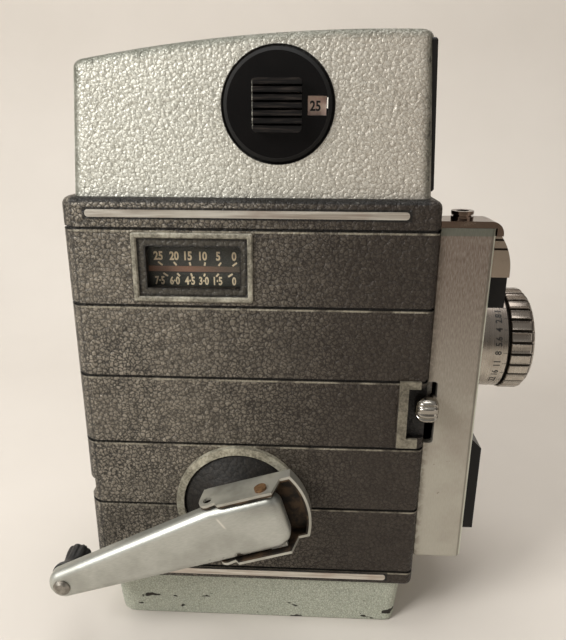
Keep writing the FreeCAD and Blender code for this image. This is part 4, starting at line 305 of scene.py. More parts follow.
def told(finishes):
    """Prints how many nodes each finish took, and hands the finishes on."""
    counts = [f"{material.name} {len(material.node_tree.nodes)}" for material in finishes.values()]
    print("finishes and their nodes:", ", ".join(counts))
    return finishes


print("recipes and finishes are ready")

# %% [markdown]
# ## Hammered paint
# The body, its door, the top and the base are cast metal under hammered paint. As it dries the
# paint pulls itself into lumps a millimetre or so wide, light where metal flakes gather and dark in
# the dips between them; the colour carries that light and dark partly as painted glints and painted shade. An
# image of it would repeat. Here cells about scattered points make it at
# any scale, once noises have bent them: each lump is a dome about its point, and the distance to
# its cell's edge finds the dips.

# %% Lumps
def lumps(f, size):
    """(dome, crease, tone): dome is 1 on top of each lump and falls with the square of the distance
    from it, crease is 1 in the dips only, and tone is one random value for each lump. Two noises push
    the place about, so that no dip runs straight."""
    push = (f.noise(size * 1.1, 2.0, output=1) - 0.5) * (size * 1.3)
    bent = f.place + push + (f.noise(size * 0.4, 1.0, output=1) - 0.5) * (size * 0.4)
    gap = f.cells(size, "DISTANCE_TO_EDGE", bent)
    dome = 1 - f.cells(size, "F1", bent) ** 2.0 * 1.6
    tone = f.node("ShaderNodeSeparateColor", {}, {0: f.cells(size, "F1", bent, 1)})
    return dome, gap.rise(0.22, 0.0), tone


def hammered(f, size, colours, depth):
    """(colour, roughness, normal) in lumps of size millimetres. colours are those of the dips, the
    lumps and the flakes, whose light colour is partly a painted glint; the bump is depth millimetres deep."""
    dip, lump, flake_glint = colours
    dome, crease, tone = lumps(f, size)
    speck = f.noise(size * 0.32, 2.0, shift=3.0).rise(0.46, 0.7)
    cloud = f.noise(22.0, 3.0)
    # The dips are dark partly by the paint's own colour and partly as painted shade of the relief; the
    # flakes' colour is partly a painted glint.
    dark = crease * (0.7 + cloud.rise(0.3, 0.7) * 0.3)
    colour = f.blend(f.blend(lump, dip, 0.24 - tone * 0.24), dip, dark)
    colour = f.blend(colour, flake_glint, speck * (1 - crease) * (0.14 + tone * 0.26))
    return colour, 0.5 - dome * 0.08 + cloud * 0.06, f.dented((dome + speck * 0.1) * depth, 0.9)


print("hammered paint is (colour, roughness, normal), in lumps of any size")

# %% [markdown]
# ## Worn edges
# Hands and table tops rub paint away along edges first. Wear painted by hand would have to be
# painted again after each change of shape. Here each paint works out how far a place lies from the
# nearest edge, in millimetres, and a noise makes the limit ragged.

# %% Worn edges
def rubbed(f, far, width, patch=5.0):
    """How far paint is rubbed through at a distance far from an edge: sure at the edge, gone at
    width, and ragged between because a noise moves the limit."""
    ragged = f.noise(patch, 4.0) * width * 1.5
    return (far + ragged - width * 0.4).rise(width * 0.75, width * 0.15)


def to_edge(first, second, third):
    """How far the nearest edge is: the middle one of the distances to the faces along x, y and z,
    because an edge is where two faces meet."""
    return first.least(second).most(first.most(second).least(third))


def nearest(value, levels):
    """The distance from value to the nearest of the levels."""
    best = abs(value - levels[0])
    for level in levels[1:]:
        best = best.least(abs(value - level))
    return best


print("wear is measured from the nearest edge or the nearest level")

# %% [markdown]
# ## The body's paint
# The body and its door wear the dark finish, with painted shade in the grooves and a painted highlight, over
# rubbed paint, along their lower lips. A map painted on the mesh would be as coarse as its faces. Distances
# to the grooves, the lever and the counter stay sharp at any scale, and they keep the painted shade where it
# belongs.

# %% Body paint
CASE_LOW, CASE_HIGH = (-47.0, -28.0, 16.0), (45.0, 28.0, 126.0)
GROOVES = (21.05, 41.55, 60.85, 80.15, 99.45, 118.75)
STRIPS = (19.2, 122.4)


def body_paint(name):
    """Dark hammer finish of the body and its door: darker and browner towards the front as painted shade,
    greyed with a painted sheen and glinting where the corners are rubbed, with a painted highlight in short
    runs along each groove's lower lip, and nearly black as painted shade in the grooves, behind the lever and
    along the edges inside the counter's frame, in a dark joint round the trim strip, and in matt paint inside
    the case."""
    f = Finish(name)
    colours = (shade(28, 25, 21), shade(130, 122, 109), shade(204, 197, 182))
    colour, rough, normal = hammered(f, 1.1, colours, 0.2)
    patch = f.noise(3.4, 3.0, shift=9.0).rise(0.62, 0.38)
    colour = f.blend(colour, colours[0], patch * 0.28)
    # Darker and browner towards the front: painted shade.
    colour = f.blend(colour, shade(34, 25, 18), f.x.rise(-34.0, 36.0) * 0.88)
    run = f.noise(7.0, 3.0).rise(0.4, 0.58)
    along, across, up = f.inward(CASE_LOW, CASE_HIGH)
    depth = along.least(across).least(up)
    # A painted highlight along each groove's lower lip, over rubbed paint, in short runs.
    lip = nearest(f.z + 0.62, GROOVES).rise(0.34, 0.1) * (0.15 + run * 0.7) * depth.rise(1.0, 0.7)
    colour = f.blend(colour, shade(148, 142, 126), lip)
    colour = f.blend(colour, shade(30, 29, 27), depth.rise(1.25, 1.4) * 0.8)
    # Painted shade lies where the crank side is sunk: in grooves, in flat hollows and behind the lever. The
    # outline round each trim strip is a dark joint.
    flat = abs(f.x + 1.0).rise(43.4, 42.4).most(nearest(f.z, GROOVES).rise(0.6, 0.45))
    behind = f.x.rise(39.4, 39.7) * abs(f.z - 71.35).rise(7.6, 7.3)
    deep = (f.y + 28.0).rise(0.12, 0.35) * (f.y + 20.0).rise(0.0, -1.0) * flat.most(behind)
    outline = nearest(f.z, STRIPS).rise(1.6, 1.3) * abs(f.x + 1.45).rise(39.5, 39.1) * f.y.rise(-26.0, -27.0)
    colour = f.blend(colour, shade(18, 16, 14), deep.most(outline) * 0.9)
    # Inside the counter's frame: grey-brown, partly an inner frame's paint and partly painted shade of its
    # well, with a painted shadow along the frame's inner edge and in the window's opening.
    wide, high = abs(f.x + 14.6), abs(f.z - 109.3)
    framed = wide.rise(13.6, 13.4) * high.rise(7.4, 7.2) * f.y.rise(-26.0, -27.0)
    border_shadow = wide.rise(12.6, 13.1).most(high.rise(6.5, 6.9)).most(wide.rise(12.1, 11.7) * high.rise(5.8, 5.3))
    colour = f.blend(colour, f.blend(shade(58, 55, 48), shade(14, 13, 12), border_shadow), framed * 0.85)
    # Rubbed corners: worn paint, greyed as a painted sheen of the rounded edges, with bare flecks lit as
    # painted glints.
    bare = rubbed(f, to_edge(along, across, up), 1.7, 2.4)
    bright = f.noise(0.8, 3.0, shift=5.0).rise(0.52, 0.64) * bare
    colour = f.blend(colour, shade(84, 84, 78), bare * 0.4)
    colour = f.blend(colour, shade(200, 197, 186), bright * 0.75)
    return f.done(colour, rough - bare * 0.14, 0.35 + bare * 0.3, normal)


paints = told({"body": body_paint("dark_hammer")})

# %% [markdown]
# ## The top's paint
# The top housing is silver, with a painted dark reflection, greenish, along its rounded rim and a few chips
# near its front. A box can't say how far its rim is, because its faces lean, so the lean of each face is
# written into the distance from it.

# %% Top paint
DIAL_CENTRE = (6.0, 146.8)


def top_paint(name):
    """Silver hammer finish, browner towards the front as painted shade, with a painted dark reflection,
    greenish, along its edges; black round the dial as painted shade in its recess. The faces lean, so the
    distances to them are written out: the rear and the front lean by
    0.099 and 0.051 of the height, the sides by 0.045, and the roof rises 6.9 mm and bulges by 2.4."""
    f = Finish(name)
    colours = (shade(158, 156, 144), shade(212, 211, 200), shade(234, 233, 225))
    colour, rough, normal = hammered(f, 0.9, colours, 0.19)
    # Browner and darker towards the front: painted shade.
    colour = f.blend(colour, shade(144, 127, 114), f.x.rise(-25.0, 42.0) * 0.42)
    foot, back, length = 126.0, 44.2, 87.0
    lift, share = f.z - foot, (f.x + back) / length
    rear, front = f.x + back - lift * 0.099, 42.9 - f.x - lift * 0.051
    side = 25.0 - abs(f.y) - lift * 0.045
    roof = share * 6.9 + share * (1 - share) * 9.6 + 30.3 - lift
    # Along the rounded rim: a painted dark, greenish reflection; the chips near the front are worn paint.
    stain = (to_edge(rear.least(front), side, roof) + f.noise(5.0, 3.0) * 2.4).rise(4.2, 1.5)
    colour = f.blend(colour, shade(84, 86, 73), stain * 0.85)
    chip = f.noise(1.6, 3.0, shift=6.0).rise(0.6, 0.64) * stain * f.x.rise(20.0, 38.0)
    colour = f.blend(colour, shade(44, 40, 34), chip * 0.8)
    # Black round the dial: painted shade in its recess.
    gap = f.from_axis("y", DIAL_CENTRE).rise(13.3, 13.1) * f.y.rise(-24.95, -24.6) * f.y.rise(-18.0, -19.0)
    colour = f.blend(colour, shade(16, 15, 13), gap)
    return f.done(colour, rough - 0.04 - stain * 0.08 + gap * 0.3, 0.35, normal)


paints.update(told({"top": top_paint("silver_hammer")}))

# %% [markdown]
# ## The base and the boss
# The base is grey-green with a sandy grain, chipped to dark metal at the foot. The boss under the
# crank has the body's colour, rubbed brown and smooth by the crank as it turns. Both are the same
# lumps as before, in other sizes and colours, so they need no formula of their own.

# %% Base and boss paint
BASE_LOW, BASE_HIGH = (-43.8, -24.8, -0.4), (42.7, 24.8, 16.0)
CRANK_HUB = (-4.1, 43.0)


def base_paint(name):
    """Grey-green hammer finish of the base: a fine sandy grain, chipped to dark metal near the foot."""
    f = Finish(name)
    colours = (shade(146, 150, 136), shade(188, 191, 176), shade(208, 210, 197))
    colour, rough, normal = hammered(f, 0.65, colours, 0.1)
    spot = f.noise(0.9, 3.0, shift=8.0).rise(0.66, 0.72)
    colour = f.blend(colour, shade(84, 82, 70), spot * 0.5)
    low = f.z.rise(10.0, 1.0)
    ragged = f.noise(4.6, 3.0, place=f.place * (0.55, 1.0, 1.3), shift=2.0)
    chip = (ragged + low * 0.05).rise(0.675, 0.688) * low.rise(0.0, 0.2)
    colour = f.blend(colour, shade(46, 42, 36), chip)
    bare = rubbed(f, to_edge(*f.inward(BASE_LOW, BASE_HIGH)), 0.8) * (1 - chip)
    colour = f.blend(colour, shade(186, 185, 172), bare * 0.5)
    return f.done(colour, rough + chip * 0.2, 0.3, normal)


def boss_paint(name):
    """Dark hammer finish on the turned boss under the crank: scuffed brown, smoother than the body."""
    f = Finish(name)
    colours = (shade(14, 13, 11), shade(32, 29, 25), shade(60, 56, 50))
    colour, rough, normal = hammered(f, 1.3, colours, 0.08)
    scuff = f.from_axis("y", CRANK_HUB).rise(15.0, 7.0) * f.noise(4.0, 3.0).rise(0.35, 0.7)
    colour = f.blend(colour, shade(42, 34, 27), scuff * 0.7)
    return f.done(colour, rough + 0.1, 0.1, normal, specular_ior_level=0.3)


paints.update(told({"base": base_paint("grey_hammer"), "boss": boss_paint("boss_hammer")}))

# %% [markdown]
# ## Satin aluminium
# Bare metals differ by how long and how fine their scratches are. The front housing is satin
# aluminium with a fine upright grain. An image of brushed metal would bring its own light with it.
# A noise drawn out along one axis gives the scratches alone, and the lights do the rest, with painted
# reflections and shade on top.

# %% Satin aluminium
def grained(f, place, stretch, size):
    """Fine scratches: a noise whose patches are drawn out by stretch along each axis of place."""
    return f.noise(size, 3.0, stretch, place)


def satin(name):
    """Front housing: fine satin aluminium, darker and warmer near the top as painted reflection and painted
    shade, with a greenish painted reflection on its upper edge, a painted highlight and dark line where the
    side meets the front, and painted shade beside the body."""
    f = Finish(name)
    grain = grained(f, f.place, (1.0, 1.0, 6.0), 0.25)
    smudge = f.noise(16.0, 4.0)
    # Darker and warmer towards the top: painted reflection of the brown room and painted shade.
    upper = f.blend(shade(172, 168, 156), shade(112, 98, 88), f.z.rise(44.0, 116.0))
    colour = f.blend(upper, shade(196, 191, 180), grain.rise(0.3, 0.75) * 0.3)
    colour = f.blend(colour, shade(128, 112, 102), smudge.rise(0.45, 0.75) * 0.3)
    # A greenish band on the rounded upper edge: painted reflection.
    colour = f.blend(colour, shade(98, 104, 94), f.z.rise(117.3, 117.7) * 0.75)
    # Where the side meets the front: a painted highlight with a painted dark line beside it.
    edge = f.x.rise(57.75, 58.05) * f.y.rise(-24.8, -25.2)
    colour = f.blend(colour, shade(92, 92, 82), abs(f.x - 57.45).rise(0.35, 0.1) * 0.5)
    colour = f.blend(colour, shade(206, 210, 196), edge)
    speck = f.noise(1.8, 2.0, shift=7.0).rise(0.74, 0.78)
    # Beside the body the metal is darkened in patches as painted shade; the specks are dust.
    grime = f.x.rise(47.2, 45.2) * f.noise(1.5, 3.0).rise(0.4, 0.6)
    colour = f.blend(colour, shade(96, 88, 78), (speck * 0.5 + grime * 0.55).least(1.0))
    rough = 0.4 + grain * 0.1 + smudge * 0.08 - edge * 0.15
    return f.done(colour, rough, 0.75, f.dented(grain * 0.01, 0.5))


metals = told({"front": satin("satin_front")})

# %% [markdown]
# ## Chrome plate
# The trim, the brow over the lens, the lever's pad and the eyepiece are plated. Chrome has hardly a
# colour of its own, so what makes it chrome is how sharp its reflections are: the roughness stays
# low, and rises only in dull spots and in the dark lines across the brow. Its dim, brownish tints are a
# painted reflection of the room.

# %% Chrome plate
def chrome(name, tint, lines=(), grain=(1.0, 1.0, 1.0)):
    """Polished plate: nearly clean, with fine wiping marks, dull spots and dark lines at heights."""
    f = Finish(name)
    wiped = grained(f, f.place, grain, 0.6)
    spots = f.noise(3.5, 4.0).rise(0.55, 0.78)
    colour = f.blend(shade(*tint), shade(150, 138, 122), spots * 0.3)
    rough = 0.1 + wiped * 0.1 + spots * 0.2
    if lines:
        cut = nearest(f.z, lines).rise(0.32, 0.2)
        colour = f.blend(colour, shade(34, 28, 24), cut)
        rough = rough + cut * 0.3
    return f.done(colour, rough, 1.0, f.dented(wiped * 0.012 + spots * 0.008, 0.4))


# The tints are darker and browner than chrome: painted reflection of the dim brown room, strongest on the
# trim.
metals.update(told({
    "trim": chrome("trim_chrome", (112, 96, 85), grain=(8.0, 1.0, 1.0)),
    "brow": chrome("brow_chrome", (150, 138, 125), lines=(116.2, 113.9)),
    "pad": chrome("pad_chrome", (158, 153, 144)),
}))

# %% [markdown]
# ## Turned chrome
# The lens barrel and its ring were turned on a lathe, so their finest marks run right round. A plain
# noise would cross them. One that is read at the place along the axis and the distance from it
# is the same at every angle, as turning leaves it.

# %% Turned chrome
LENS_AXIS = (5.0, 81.4)


def turned_chrome(name, dark=None):
    """Chrome turned on a lathe: the grain runs round the lens axis, so it reads the distance from
    it and the place along it. It is darker and browner towards the top, a painted reflection of the dim room.
    dark is a radius under which the grooves are darkened."""
    f = Finish(name)
    ring = f.from_axis("x", LENS_AXIS)
    spot = f.node("ShaderNodeCombineXYZ", {}, {0: f.x, 1: ring, 2: 0.0})
    grain = f.noise(0.22, 2.0, place=spot)
    spots = f.noise(4.0, 4.0).rise(0.5, 0.8)
    colour = f.blend(shade(158, 150, 139), shade(190, 184, 174), grain)
    colour = f.blend(colour, shade(120, 104, 90), spots * 0.4)
    # Darker and browner towards the top: painted reflection.
    colour = f.blend(colour, shade(84, 68, 60), f.z.rise(76.0, 94.0) * 0.6)
    rough = 0.2 + grain * 0.14 + spots * 0.12
    if dark:
        # The grooves below the radius dark are darkened.
        dark_grooves = ring.rise(dark, dark - 0.35) * (f.x - 77.0).rise(0.3, 0.0)
        colour = f.blend(colour, shade(38, 32, 27), dark_grooves * 0.92)
        rough = rough + dark_grooves * 0.4
    return f.done(colour, rough, 1.0, f.dented(grain * 0.012, 0.5))


metals.update(told({"barrel": turned_chrome("barrel_chrome"), "ring": turned_chrome("ring_chrome", 14.85)}))

# %% [markdown]
# ## The crank's sheet
# The arm and its bracket are pressed from aluminium sheet. Their marks lie along the arm, which
# stands 17 degrees off level, so places are turned into the arm's own frame before the grain is
# drawn. The arm's dents are real hollows, but so small that a bump shows them as well as a mesh.

# %% Crank sheet
CRANK_TILT = np.radians(17.0)


def along_crank(f):
    """(along, across): places in the crank's own frame, turned by its tilt about its hub."""
    cosine, sine = float(np.cos(CRANK_TILT)), float(np.sin(CRANK_TILT))
    x, z = f.x - CRANK_HUB[0], f.z - CRANK_HUB[1]
    return x * cosine + z * sine, z * cosine - x * sine


def crank_sheet(name):
    """Pressed aluminium, tumbled to a smooth satin, with what hands did to the arm: a short crease across the
    shoulder, bright with a painted highlight, a dark dent at the lower edge and a few nicks beside it;
    painted shade darkens its upper part towards the hinge."""
    f = Finish(name)
    along, across = along_crank(f)
    spot = f.node("ShaderNodeCombineXYZ", {}, {0: along, 1: across, 2: f.y})
    grain = grained(f, spot, (5.0, 1.0, 1.0), 0.3)
    hands = f.noise(11.0, 3.0)
    colour = f.blend(shade(174, 175, 168), shade(198, 198, 190), grain.rise(0.25, 0.75) * 0.5)
    colour = f.blend(colour, shade(146, 145, 137), hands.rise(0.4, 0.7) * 0.5)
    # Painted shade: the arm's upper part towards the hinge is darker.
    colour = f.blend(colour, shade(112, 112, 106), along.rise(-2.0, 9.0) * across.rise(1.0, 6.0) * 0.5)
    height = grain * 0.004 - f.noise(12.0, 1.0) * 0.12
    # The crease runs over the shoulder; the dent and the nicks lie along the lower edge.
    line = abs(along + 2.27 + (across - 3.8) * 0.365)
    crease = (1 - line.rise(0.0, 0.5)) * abs(across - 3.8).rise(2.2, 1.0)
    nick = f.noise(0.9, 3.0, (2.0, 1.0, 1.0), spot, 5.0).rise(0.6, 0.64)
    nick = nick * abs(across + 5.8).rise(1.3, 0.5) * abs(along + 8.6).rise(4.5, 2.5)
    dent = ((along + 0.8) ** 2.0 + (across + 6.9) ** 2.0) ** 0.5
    dark = dent.rise(1.5, 0.7) * f.noise(1.1, 2.0).rise(0.36, 0.5)
    # The crease's brightness is a painted highlight.
    colour = f.blend(colour, shade(222, 219, 210), crease * 0.8)
    colour = f.blend(colour, shade(62, 54, 44), (nick * 0.7).most(dark))
    height = height + crease * 0.05 - nick * 0.03 - dent.rise(2.2, 0.3) * 0.2
    rough = 0.36 + hands * 0.12 + grain * 0.04
    return f.done(colour, rough, 0.9, f.dented(height, 0.7))


def bracket_sheet(name):
    """The crank's bracket: the same sheet outside, brown-black on its floor and inside its rim, partly
    painted shade of the cup and partly old oil, and bright again along the cut edge of the rim."""
    f = Finish(name)
    hands = f.noise(8.0, 3.0)
    oil = f.noise(3.0, 4.0)
    along, across = along_crank(f)
    inside = f.from_axis("y", CRANK_HUB).rise(19.2, 19.05) * abs(across).rise(8.75, 8.6)
    colour = f.blend(shade(182, 180, 170), shade(136, 133, 122), hands.rise(0.4, 0.7) * 0.7)
    # Inside the rim: painted shade of the cup, mottled brown by old oil.
    colour = f.blend(colour, f.blend(shade(30, 25, 20), shade(84, 66, 48), oil.rise(0.35, 0.7)), inside)
    return f.done(colour, 0.36 + hands * 0.12 + inside * 0.12, 0.75 - inside * 0.2, f.dented(oil * 0.03, 0.5))


metals.update(told({"arm": crank_sheet("arm_sheet"), "bracket": bracket_sheet("bracket_sheet")}))

# %% [markdown]
# ## Frames and trim strips
# Cast frames stand round the counter, the lever and the crank, in olive paint that hands have
# polished down to pale metal here and there. Two bright strips run along the side. One function
# serves the three frames, since only their two colours differ.

# %% Frames and trim strips
def worn_frame(name, low, pale):
    """Frames round the counter, the lever and the crank: olive paint with a fine grain, rubbed from low
    to pale in patches and grimy in others."""
    f = Finish(name)
    worn = f.noise(5.0, 4.0).rise(0.4, 0.65)
    fine = f.noise(0.7, 3.0).rise(0.35, 0.65)
    colour = f.blend(shade(*low), shade(*pale), (worn * 0.6 + fine * 0.5).least(1.0))
    grime = f.noise(1.6, 4.0, shift=4.0).rise(0.55, 0.7)
    colour = f.blend(colour, shade(66, 61, 51), grime * 0.5)
    return f.done(colour, 0.46 - worn * 0.08 + fine * 0.08, 0.4, f.dented(fine * 0.03, 0.6))


def strip_metal(name):
    """Trim strips: bright aluminium with a pinkish film and rubs along its length."""
    f = Finish(name)
    rub = f.noise(0.5, 3.0, (30.0, 1.0, 1.0))
    film = f.noise(9.0, 2.0)
    colour = f.blend(shade(178, 168, 156), shade(222, 218, 208), rub.rise(0.3, 0.7))
    colour = f.blend(colour, shade(170, 148, 136), film.rise(0.45, 0.7) * 0.4)
    return f.done(colour, 0.26 + rub * 0.16, 0.9, f.dented(rub * 0.02, 0.5))


metals.update(told({
    "counter": worn_frame("counter_rim", (104, 100, 88), (176, 171, 155)),
    "lever": worn_frame("lever_rim", (80, 75, 64), (134, 128, 113)),
    "crank_rim": worn_frame("crank_rim", (118, 113, 98), (192, 187, 168)),
    "strip": strip_metal("strip_metal"),
}))

# %% [markdown]
# ## Pins, gears and springs
# Small parts are plain metal: bright steel, rusted or blued steel, brass. Most of them sit inside
# the case. They are seen small or through a window, so one simple formula, two tones in clouds over
# a fine grain, serves them all.

# %% Pins, gears and springs
def plain_metal(name, colour, dull, rough=0.3, metallic=1.0, size=1.4):
    """Plain turned or cut metal: two tones in small clouds over a fine grain."""
    f = Finish(name)
    cloud = f.noise(size, 4.0)
    grain = f.noise(0.25, 2.0)
    mixed = f.blend(shade(*colour), shade(*dull), cloud.rise(0.35, 0.75))
    return f.done(mixed, rough + cloud * 0.14, metallic, f.dented(grain * 0.01 + cloud * 0.02, 0.5))


metals.update(told({
    "steel": plain_metal("bright_steel", (190, 188, 182), (120, 112, 102)),
    "rivet": plain_metal("rivet_steel", (150, 146, 138), (112, 106, 97), 0.34),
    "rust": plain_metal("rusted_pin", (122, 92, 62), (82, 58, 38), 0.5, 0.6, 0.7),
    "spring": plain_metal("blued_spring", (70, 84, 112), (52, 58, 74), 0.24),
    "drum": plain_metal("drum_steel", (158, 156, 150), (128, 124, 116), 0.36),
    "brass": plain_metal("gear_brass", (204, 168, 96), (160, 124, 66), 0.28),
    "gate": plain_metal("gate_plate", (206, 206, 204), (176, 174, 170), 0.16),
}))

# %% [markdown]
# ## Black enamel and resin
# The dial and the front panels are black enamel, and the knob is moulded resin gone dull. Black has
# no colour to vary, so roughness does most of the work: gloss shows as sharp reflections with a
# haze of wiping scratches, and dull resin as wide soft ones.

# %% Black enamel and resin
def enamel(name, colour=(12, 11, 10), rough=0.3):
    """Black enamel with wiping haze and grey wear specks."""
    f = Finish(name)
    haze = f.noise(7.0, 4.0).rise(0.4, 0.75)
    dust = f.noise(0.5, 2.0, shift=2.0).rise(0.7, 0.76)
    colour = f.blend(shade(*colour), shade(52, 46, 42), dust * 0.4 + haze * 0.05)
    rough = rough + haze * 0.14 + dust * 0.2
    return f.done(colour, rough, 0.0, f.dented(f.noise(5.0, 1.0) * 0.02, 0.3), specular_ior_level=0.22)


def dial_enamel(name):
    """The film speed dial: deep gloss black, dull on its bevel. The grip block's ridges are dulled and
    greyed by fingers, and a painted highlight runs along its left edge."""
    f = Finish(name)
    haze = f.noise(6.0, 4.0).rise(0.45, 0.8)
    block = abs(f.x - DIAL_CENTRE[0]).rise(5.75, 5.55) * (f.y + 28.5).rise(0.1, -0.1)
    streak = f.noise(0.4, 3.0, (14.0, 1.0, 1.0)).rise(0.45, 0.7)
    colour = f.blend(shade(11, 10, 10), shade(52, 46, 42), block * streak * 0.7 + haze * 0.04)
    # A painted highlight along the grip block's left edge, broken by the streaks.
    left = abs(f.x - 0.45).rise(0.2, 0.05) * (f.y + 27.0).rise(0.4, -0.4) * abs(f.z - 147.0).rise(5.6, 4.2)
    colour = f.blend(colour, shade(172, 170, 160), left * (0.35 + streak * 0.65))
    bevel = f.from_axis("y", DIAL_CENTRE).rise(11.5, 11.7)
    rough = 0.06 + haze * 0.08 + block * 0.22 + bevel * 0.7
    return f.done(colour, rough, 0.0, f.dented(haze * 0.01, 0.3), specular_ior_level=0.35)


KNOB_AXIS = (-51.011, 24.057)


def resin(name):
    """Moulded black knob: dull, and greyed on its ribs."""
    f = Finish(name)
    rub = f.noise(1.2, 4.0)
    proud = f.from_axis("y", KNOB_AXIS).rise(2.9, 3.5) * rub.rise(0.35, 0.7)
    colour = f.blend(shade(20, 20, 20), shade(74, 72, 68), proud * 0.55)
    return f.done(colour, 0.42 + rub * 0.16, 0.0, f.dented(rub * 0.06, 0.6))


darks = told({
    "enamel": enamel("black_enamel"), "dial": dial_enamel("dial_enamel"),
    "bezel": enamel("bezel_black", (20, 19, 18), 0.4), "resin": resin("knob_resin"),
})

# %% [markdown]
# ## Faces and ink
# Behind the windows lie the counter's dial, the speed card and the light cell, and the case is matt
# black inside. Their bands and lines are print, but too few to need an image: each is one distance
# in millimetres from a level.

# %% Faces and ink
def matt(name, colour, second, rough=0.75):
    """Matt paint with a faint grain."""
    f = Finish(name)
    cloud = f.noise(2.0, 4.0)
    mixed = f.blend(shade(*colour), shade(*second), cloud.rise(0.3, 0.75))
    return f.done(mixed, rough + cloud * 0.1, 0.0, f.dented(cloud * 0.03, 0.5))


def printed(name, colour):
    """Printed ink: flat colour, a little worn."""
    f = Finish(name)
    worn = f.noise(0.45, 3.0).rise(0.62, 0.72)
    return f.done(f.blend(shade(*colour), shade(96, 88, 74), worn * 0.45), 0.5, 0.0)


def counter_face(name):
    """Counter dial: dark green-grey, with an orange-brown band and a thin dark line under it."""
    f = Finish(name)
    stain = f.noise(3.0, 4.0)
    colour = f.blend(shade(58, 56, 48), shade(40, 42, 37), stain.rise(0.3, 0.7))
    band = abs(f.z - 107.85).rise(0.82, 0.62)
    warm = f.blend(shade(140, 100, 78), shade(92, 80, 66), f.x.rise(-18.0, -3.0))
    colour = f.blend(colour, warm, band * (0.7 + stain * 0.3))
    colour = f.blend(colour, shade(30, 26, 22), abs(f.z - 107.0).rise(0.2, 0.1))
    return f.done(colour, 0.5, 0.0, f.dented(stain * 0.02, 0.4))


def scale_face(name):
    """Film speed scale under its dial: pinkish cream card."""
    f = Finish(name)
    stain = f.noise(1.6, 4.0)
    return f.done(f.blend(shade(238, 214, 196), shade(222, 186, 172), stain.rise(0.3, 0.7)), 0.55)


def cell_face(name):
    """Light cell behind the ribbed window: dark blue-grey with thin pale collector lines."""
    f = Finish(name)
    line = nearest(f.y, (-16.0, -12.0, -8.0, -4.0, 0.0)).rise(0.25, 0.12)
    cloud = f.noise(4.0, 3.0)
    colour = f.blend(shade(34, 38, 52), shade(52, 50, 60), cloud.rise(0.3, 0.7))
    return f.done(f.blend(colour, shade(150, 150, 146), line), 0.3, 0.3)


darks.update(told({
    "inside": matt("inside_black", (16, 16, 16), (30, 29, 27)), "counter": counter_face("counter_face"),
    "scale": scale_face("scale_card"), "cell": cell_face("cell_face"),
    "cream": printed("cream_ink", (232, 214, 178)), "black": printed("black_ink", (22, 18, 18)),
    "white": printed("white_ink", (236, 232, 222)),
    "red": matt("needle_red", (150, 30, 20), (120, 22, 16), 0.4),
}))

# %% [markdown]
# ## Glass
# The lens and the windows are thin. Real refraction through a thin sheet bends nothing that the eye
# can see, and it costs light and time. A clear coat over a nearly see-through shader gives the same
# glint, with a faint smear so that the sheet can be seen at all.

# %% Glass
def clear(name, tint, see_through, rough=0.04):
    """Thin glass or window sheet, lightly smeared."""
    f = Finish(name)
    smear = f.noise(5.0, 4.0).rise(0.45, 0.8)
    colour = f.blend(shade(*tint), shade(210, 206, 198), smear * 0.1)
    return f.done(colour, rough + smear * 0.1, 0.0, f.dented(smear * 0.004, 0.3),
                  alpha=see_through, coat_weight=0.6, coat_roughness=0.03)


darks.update(told({
    "clear": clear("clear_sheet", (90, 92, 88), 0.06), "lens": clear("coated_lens", (26, 22, 40), 0.55, 0.02),
    "ribbed": clear("ribbed_window", (196, 200, 196), 0.45, 0.12),
}))

# %% [markdown]
# ## Dressing the CAD pieces
# A CAD piece whose shape is right keeps its mesh and gets its finish in its own material slots. The
# table is read aloud as a maker would say it: this finish goes on these pieces.

# %% Which finish goes on which piece
dress = [
    (paints["body"], "body_shell film_door"),
    (paints["top"], "top_housing"),
    (paints["base"], "base_housing"),
    (paints["boss"], "crank_boss"),
    (metals["front"], "front_housing"),
    (metals["trim"], "front_trim release_socket"),
    (metals["brow"], "front_brow"),
    (metals["pad"], "eyepiece"),
    (metals["barrel"], "lens_barrel"),
    (metals["arm"], "crank_arm"),
    (metals["bracket"], "crank_bracket"),
    (metals["counter"], "counter_frame"),
    (metals["lever"], "lever_frame"),
    (metals["crank_rim"], "crank_ring"),
    (metals["strip"], "trim_strip_upper trim_strip_lower"),
    (metals["steel"], "door_hinge_pin winding_arbor tripod_bush shutter_shaft door_latch film_feeler"),
    (metals["steel"], "release_bar"),
    (metals["rivet"], "knob_rivet"),
    (metals["rust"], "crank_hinge_pin"),
    (metals["spring"], "mainspring"),
    (metals["drum"], "spring_barrel barrel_lid"),
    (metals["brass"], "dial_cam drive_wheel contrate_wheel"),
    (metals["gate"], "film_gate pressure_plate"),
    (darks["enamel"], "front_panel front_plate"),
    (darks["dial"], "film_speed_dial"),
    (darks["bezel"], "front_bezel shutter_disc"),
    (darks["inside"], "finder_tube mechanism_plate supply_spindle takeup_spindle meter_case meter_vane"),
    (darks["counter"], "counter_dial"),
    (darks["scale"], "dial_scale"),
    (darks["cell"], "light_cell"),
    (darks["red"], "counter_needle"),
    (darks["clear"], "counter_glass finder_front_glass eyepiece_glass"),
    (darks["lens"], "front_lens rear_lens"),
    (darks["ribbed"], "eye_window"),
]
for finish, names in dress:
    for node in names.split():
        for holder in nodes[node].material_slots:
            holder.material = finish
dressed = {node for _, names in dress for node in names.split()}
print("dressed", len(dressed), "pieces; left for new surfaces:", sorted(set(nodes) - dressed))

# %% [markdown]
# ## The lens ring
# The focus ring is a turned ring with twenty-eight narrow grooves cut along it, and each land between
# two grooves is milled flat, so each catches the light by itself. Cutting them one by one is slow
# and leaves sharp edges. As a surface it is a profile turned about the lens axis, whose radius is
# lowered wherever the angle falls in a groove and flattened between.

